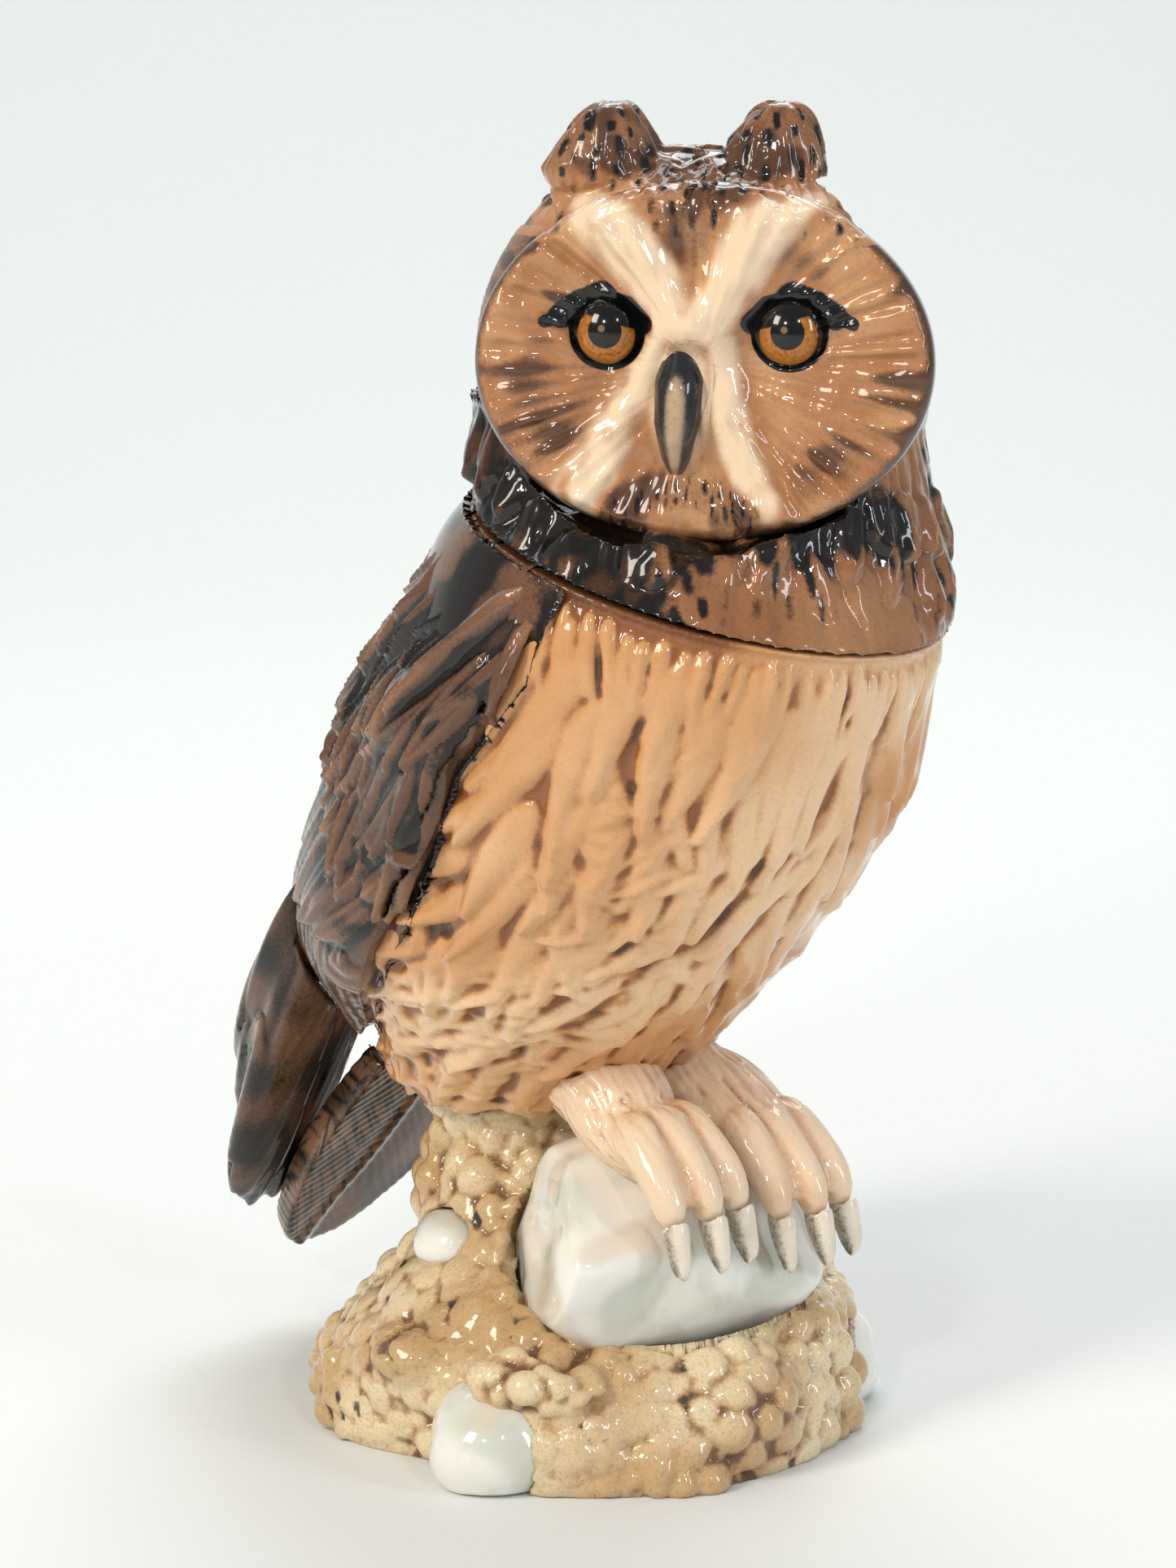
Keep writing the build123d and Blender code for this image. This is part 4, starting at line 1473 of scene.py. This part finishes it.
def make_stage(stage):
    """Pale table that sweeps up into a pale wall, soft boxes, and the camera."""
    bpy.ops.object.select_all(action="DESELECT")
    bpy.ops.mesh.primitive_plane_add(size=6.0, location=(0, 0, 0))
    sweep = bpy.context.active_object
    sweep.name = "studio_sweep"
    bpy.ops.object.transform_apply(location=True, rotation=True, scale=True)
    work = bmesh.new()
    work.from_mesh(sweep.data)
    back = [edge for edge in work.edges if all(vert.co.y > 0 for vert in edge.verts)]
    for vert in {vert for edge in back for vert in edge.verts}:
        vert.co.y = 1.6
    rise = bmesh.ops.extrude_edge_only(work, edges=back)["geom"]
    bmesh.ops.translate(
        work, vec=(0, 0, 3.0), verts=[item for item in rise if isinstance(item, bmesh.types.BMVert)]
    )
    bmesh.ops.bevel(work, geom=back, offset=0.9, segments=16, profile=0.5, affect="EDGES")
    bmesh.ops.recalc_face_normals(work, faces=work.faces)
    work.to_mesh(sweep.data)
    work.free()
    select_only(sweep)
    bpy.ops.object.shade_smooth()
    sweep.data.materials.append(plain_material("Matt pale paper", stage.paper, 0.7))
    for name, place, aim, size, watts, tint in SOFT_BOXES:
        soft_light(name, place, aim, size, watts * stage.brightness, tint)
    world = bpy.data.worlds.new("Pale room")
    bpy.context.scene.world = world
    world.use_nodes = True
    world.node_tree.nodes.clear()
    air = {"Color": linear("#e9eef2"), "Strength": stage.room_light}
    add(
        world.node_tree,
        "ShaderNodeOutputWorld",
        {"Surface": add(world.node_tree, "ShaderNodeBackground", air)[0]},
    )
    bpy.context.scene.view_settings.view_transform = "Standard"
    bpy.ops.object.camera_add(location=(0, -stage.distance, stage.eye_height))
    camera = bpy.context.active_object
    camera.name = "camera"
    camera.rotation_euler = (math.pi / 2 - stage.pitch, 0, 0)
    camera.data.lens = stage.lens
    camera.data.clip_start = 0.01
    bpy.context.scene.camera = camera


SOFT_BOXES = (
    ("window_key", (-0.75, -0.6, 0.7), (0, 0, 0.09), (0.32, 0.45), 7.5, "#fff4e6"),
    ("side_fill", (0.85, -0.5, 0.4), (0, 0, 0.09), (0.12, 0.5), 2.6, "#eef3ff"),
    ("top_back", (0.1, 0.55, 0.85), (0, 0, 0.12), (0.6, 0.3), 3.0, "#ffffff"),
    ("wall_wash", (0.0, 0.5, 1.5), (0, 1.5, 0.7), (2.0, 0.5), 13.0, "#ffffff"),
    ("sparkle_left", (-0.22, -0.65, 0.45), (0, 0, 0.1), (0.06, 0.06), 0.9, "#ffffff"),
    ("sparkle_right", (0.26, -0.6, 0.5), (0, 0, 0.1), (0.04, 0.06), 0.45, "#ffffff"),
)


# --- settings, operators and panel ---------------------------------------------------------


def colour(name, description, code):
    return FloatVectorProperty(
        name=name, description=description, default=linear(code), subtype="COLOR", size=4, min=0, max=1
    )


def length(name, description, metres):
    return FloatProperty(
        name=name,
        description=description,
        default=metres,
        unit="LENGTH",
        subtype="DISTANCE",
        min=0,
        precision=5,
    )


class OwlLook(bpy.types.PropertyGroup):
    """How fine the clay is, and the underglaze colours."""

    grain: FloatProperty(
        name="Clay grain",
        description="Voxel of the modelled clay, in millimetres",
        default=0.45,
    )
    face_grain: FloatProperty(
        name="Face grain",
        description="Voxel of the face's clay, in millimetres",
        default=0.3,
    )
    breast_pale: colour("Breast, pale", "Tops of the breast's locks", "#e3bf96")
    breast_warm: colour("Breast, warm", "Airbrushed warmth over the breast", "#cb9460")
    breast_deep: colour("Breast, deep", "Grooves between the locks", "#8d5630")
    breast_dark: colour("Breast, dark", "Brush dabs at the ends of the locks", "#54351d")
    wing_pale: colour("Wing, pale", "Ridges of the wing's feathers", "#8f684a")
    wing_warm: colour("Wing, warm", "Body of the wing's feathers", "#644430")
    wing_deep: colour("Wing, deep", "Shaded side of the feathers", "#3a261b")
    wing_dark: colour("Wing, dark", "Grooves between the feathers", "#150c07")
    tail_pale: colour("Tail, pale", "Ridges of the tail", "#8d6849")
    tail_warm: colour("Tail, warm", "Body of the tail", "#745039")
    tail_deep: colour("Tail, deep", "Grooves of the tail", "#46301b")
    tail_dark: colour("Tail, dark", "Oblique bars of the tail", "#180d07")
    leg_pale: colour("Leg, pale", "Ridges of the toes", "#e8cfb0")
    leg_warm: colour("Leg, warm", "Body of the shanks", "#d8b08a")
    leg_deep: colour("Leg, deep", "Grooves of the shanks", "#a06f49")
    leg_dark: colour("Leg, dark", "Deepest lines of the shanks", "#5c3d25")
    claw_pale: colour("Claw, pale", "Ridges of the claws", "#e6dac6")
    claw_warm: colour("Claw, warm", "Roots of the claws", "#cfc2ac")
    claw_deep: colour("Claw, deep", "Sides of the claws", "#9c958a")
    claw_dark: colour("Claw, dark", "Deepest edges of the claws", "#4c4a48")
    mound_pale: colour("Ground, pale", "Tops of the ground's knobs", "#e3cfa8")
    mound_warm: colour("Ground, warm", "Warm patches of the ground", "#c4a274")
    mound_deep: colour("Ground, deep", "Between the knobs", "#77573a")
    mound_dark: colour("Ground, dark", "Grey-black smudges", "#3f3a30")
    ruff_pale: colour("Ruff, pale", "Tops of the ruff's lobes", "#a87850")
    ruff_warm: colour("Ruff, warm", "Body of the ruff", "#8f5f3b")
    ruff_deep: colour("Ruff, deep", "Grooves of the ruff", "#4c2b15")
    # The ruff's dark tone also lays the band beneath the facial disc, which is partly painted shadow.
    ruff_dark: colour("Ruff, dark", "Brush dabs of the ruff, and the crown", "#120b07")
    face_pale: colour("Face, cream", "Brows and the stripes beside the beak", "#e8cdac")
    face_warm: colour("Face, warm", "Body of the facial disc", "#a9744c")
    face_tan: colour("Face, tan", "Lighter clouds of the facial disc", "#c59568")
    face_deep: colour("Face, deep", "Brown patches of the disc", "#5a3a24")
    # The face's black also fills each eyeball above the lid's line, partly as painted shadow of the lid.
    face_dark: colour("Face, dark", "Painted black round the eyes", "#050505")
    beak_pale: colour("Beak, pale", "Ridge of the beak", "#c9ad8d")
    beak_warm: colour("Beak, warm", "Middle of the beak", "#a78b6f")
    beak_deep: colour("Beak, deep", "Sides of the beak", "#4d4740")
    beak_dark: colour("Beak, dark", "Top of the beak", "#1e1f22")
    stone_pale: colour("Stone, light", "Where the glaze lies thin", "#ebe9df")
    stone_warm: colour("Stone, pooled", "Where the glaze pools", "#c6cabb")
    stone_deep: colour("Stone, buff", "Buff edges of the stones", "#d8c8b2")
    eye_amber: colour("Iris", "Amber of the iris", "#b06e22")
    eye_rim: colour("Iris rim", "Deeper amber round the iris", "#7a3f08")
    eye_glint: colour("Eye glint", "Painted glint in the pupil", "#9c7a55")
    biscuit: colour("Biscuit", "Bare fired clay of the neck", "#e3d2ba")
    cork: colour("Cork", "Grains of the cork", "#c79a63")

    def tones(self, part):
        """A part's underglaze colours, from pale to dark."""
        names = (f"{part}_{tone}" for tone in ("pale", "warm", "deep", "dark"))
        return [tuple(getattr(self, name)) for name in names if hasattr(self, name)]


class OwlStage(bpy.types.PropertyGroup):
    """The camera, the sweep and the light."""

    distance: length("Camera distance", "In front of the owl's foot", 0.508)
    eye_height: length("Camera height", "Above the table", 0.185)
    pitch: FloatProperty(
        name="Camera pitch", description="How far it looks down", default=math.radians(11.3), subtype="ANGLE"
    )
    lens: FloatProperty(
        name="Focal length",
        description="Focal length in millimetres",
        default=93.4,
        unit="CAMERA",
    )
    paper: StringProperty(
        name="Paper",
        description="Colour of the sweep, as sRGB hex",
        default="#e4e7e5",
    )
    brightness: FloatProperty(
        name="Brightness",
        description="Share of each soft box's power",
        default=1.0,
        min=0,
    )
    room_light: FloatProperty(
        name="Room light",
        description="Strength of the pale room",
        default=0.42,
        min=0,
    )


class OwlOperator:
    """What the operators share: a row in the panel, and undo."""

    bl_options = {"REGISTER", "UNDO"}


class OWL_OT_breast(OwlOperator, bpy.types.Operator):
    """Model and glaze the trunk"""

    bl_idname = "owl.breast"
    bl_label = "Breast"

    def execute(self, context):
        make_breast(context.scene.owl_look)
        return {"FINISHED"}


class OWL_OT_wings(OwlOperator, bpy.types.Operator):
    """Model and glaze the two folded wings"""

    bl_idname = "owl.wings"
    bl_label = "Wings"

    def execute(self, context):
        for word in ("right", "left"):
            make_wing(context.scene.owl_look, word)
        return {"FINISHED"}


class OWL_OT_wing_tips(OwlOperator, bpy.types.Operator):
    """Model and glaze the long wing tips beside the tail"""

    bl_idname = "owl.wing_tips"
    bl_label = "Wing tips"

    def execute(self, context):
        for word in ("right", "left"):
            make_primaries(context.scene.owl_look, word)
        return {"FINISHED"}


class OWL_OT_tail(OwlOperator, bpy.types.Operator):
    """Model and glaze the tail"""

    bl_idname = "owl.tail"
    bl_label = "Tail"

    def execute(self, context):
        make_tail(context.scene.owl_look)
        return {"FINISHED"}


class OWL_OT_feet(OwlOperator, bpy.types.Operator):
    """Model and glaze the shanks and toes"""

    bl_idname = "owl.feet"
    bl_label = "Feet"

    def execute(self, context):
        for word in ("right", "left"):
            make_leg(context.scene.owl_look, word)
        return {"FINISHED"}


class OWL_OT_claws(OwlOperator, bpy.types.Operator):
    """Model and glaze the claws"""

    bl_idname = "owl.claws"
    bl_label = "Claws"

    def execute(self, context):
        for word in ("right", "left"):
            make_claws(context.scene.owl_look, word)
        return {"FINISHED"}


class OWL_OT_stones(OwlOperator, bpy.types.Operator):
    """Model and glaze the boulder and the three pebbles"""

    bl_idname = "owl.stones"
    bl_label = "Stones"

    def execute(self, context):
        look = context.scene.owl_look
        make_stone(look, "boulder", ["perch_rock"], 0.2, 0.5)
        make_stone(look, "front_pebble", ["front_stone"], 0.0, 0.4)
        make_stone(look, "rear_pebble", ["rear_stone"], 0.0, 0.4)
        make_stone(look, "side_pebble", ["side_stone"], 0.0, 0.3)
        return {"FINISHED"}


class OWL_OT_ground(OwlOperator, bpy.types.Operator):
    """Model and glaze the knobbly ground"""

    bl_idname = "owl.ground"
    bl_label = "Ground"

    def execute(self, context):
        make_mound(context.scene.owl_look)
        return {"FINISHED"}


class OWL_OT_neck(OwlOperator, bpy.types.Operator):
    """Give the bored neck and its cork their materials"""

    bl_idname = "owl.neck"
    bl_label = "Neck and cork"

    def execute(self, context):
        finish_neck(context.scene.owl_look)
        return {"FINISHED"}


class OWL_OT_crown(OwlOperator, bpy.types.Operator):
    """Model and glaze the crown and the ruff"""

    bl_idname = "owl.crown"
    bl_label = "Crown and ruff"

    def execute(self, context):
        make_crown(context.scene.owl_look)
        return {"FINISHED"}


class OWL_OT_face(OwlOperator, bpy.types.Operator):
    """Model and glaze the facial disc and ear tufts"""

    bl_idname = "owl.face"
    bl_label = "Face"

    def execute(self, context):
        make_face(context.scene.owl_look)
        return {"FINISHED"}


class OWL_OT_eyes(OwlOperator, bpy.types.Operator):
    """Model and paint both eyes"""

    bl_idname = "owl.eyes"
    bl_label = "Eyes"

    def execute(self, context):
        for side in ("right", "left"):
            make_eye(context.scene.owl_look, side)
        return {"FINISHED"}


class OWL_OT_beak(OwlOperator, bpy.types.Operator):
    """Model and glaze the beak"""

    bl_idname = "owl.beak"
    bl_label = "Beak"

    def execute(self, context):
        make_beak(context.scene.owl_look)
        return {"FINISHED"}


class OWL_OT_stage(OwlOperator, bpy.types.Operator):
    """Set up the sweep, the soft boxes and the camera"""

    bl_idname = "owl.stage"
    bl_label = "Stage"

    def execute(self, context):
        make_stage(context.scene.owl_stage)
        return {"FINISHED"}


OPERATORS = (
    OWL_OT_breast,
    OWL_OT_wings,
    OWL_OT_wing_tips,
    OWL_OT_tail,
    OWL_OT_feet,
    OWL_OT_claws,
    OWL_OT_stones,
    OWL_OT_ground,
    OWL_OT_neck,
    OWL_OT_crown,
    OWL_OT_face,
    OWL_OT_eyes,
    OWL_OT_beak,
    OWL_OT_stage,
)


class OWL_PT_panel(bpy.types.Panel):
    """Lists the owl's settings and its operators, in the order in which they are run"""

    bl_label = "Ceramic owl"
    bl_idname = "OWL_PT_panel"
    bl_space_type = "VIEW_3D"
    bl_region_type = "UI"
    bl_category = "Owl"

    def draw(self, context):
        for operator in OPERATORS:
            self.layout.operator(operator.bl_idname)
        for group in (context.scene.owl_look, context.scene.owl_stage):
            for name in group.__annotations__:
                self.layout.prop(group, name)


CLASSES = (OwlLook, OwlStage, *OPERATORS, OWL_PT_panel)


def register():
    for cls in CLASSES:
        bpy.utils.register_class(cls)
    bpy.types.Scene.owl_look = PointerProperty(type=OwlLook)
    bpy.types.Scene.owl_stage = PointerProperty(type=OwlStage)


def unregister():
    del bpy.types.Scene.owl_stage
    del bpy.types.Scene.owl_look
    for cls in reversed(CLASSES):
        bpy.utils.unregister_class(cls)


def main():
    register()
    for operator in OPERATORS:
        group, name = operator.bl_idname.split(".")
        getattr(getattr(bpy.ops, group), name)()


if __name__ == "__main__":
    main()
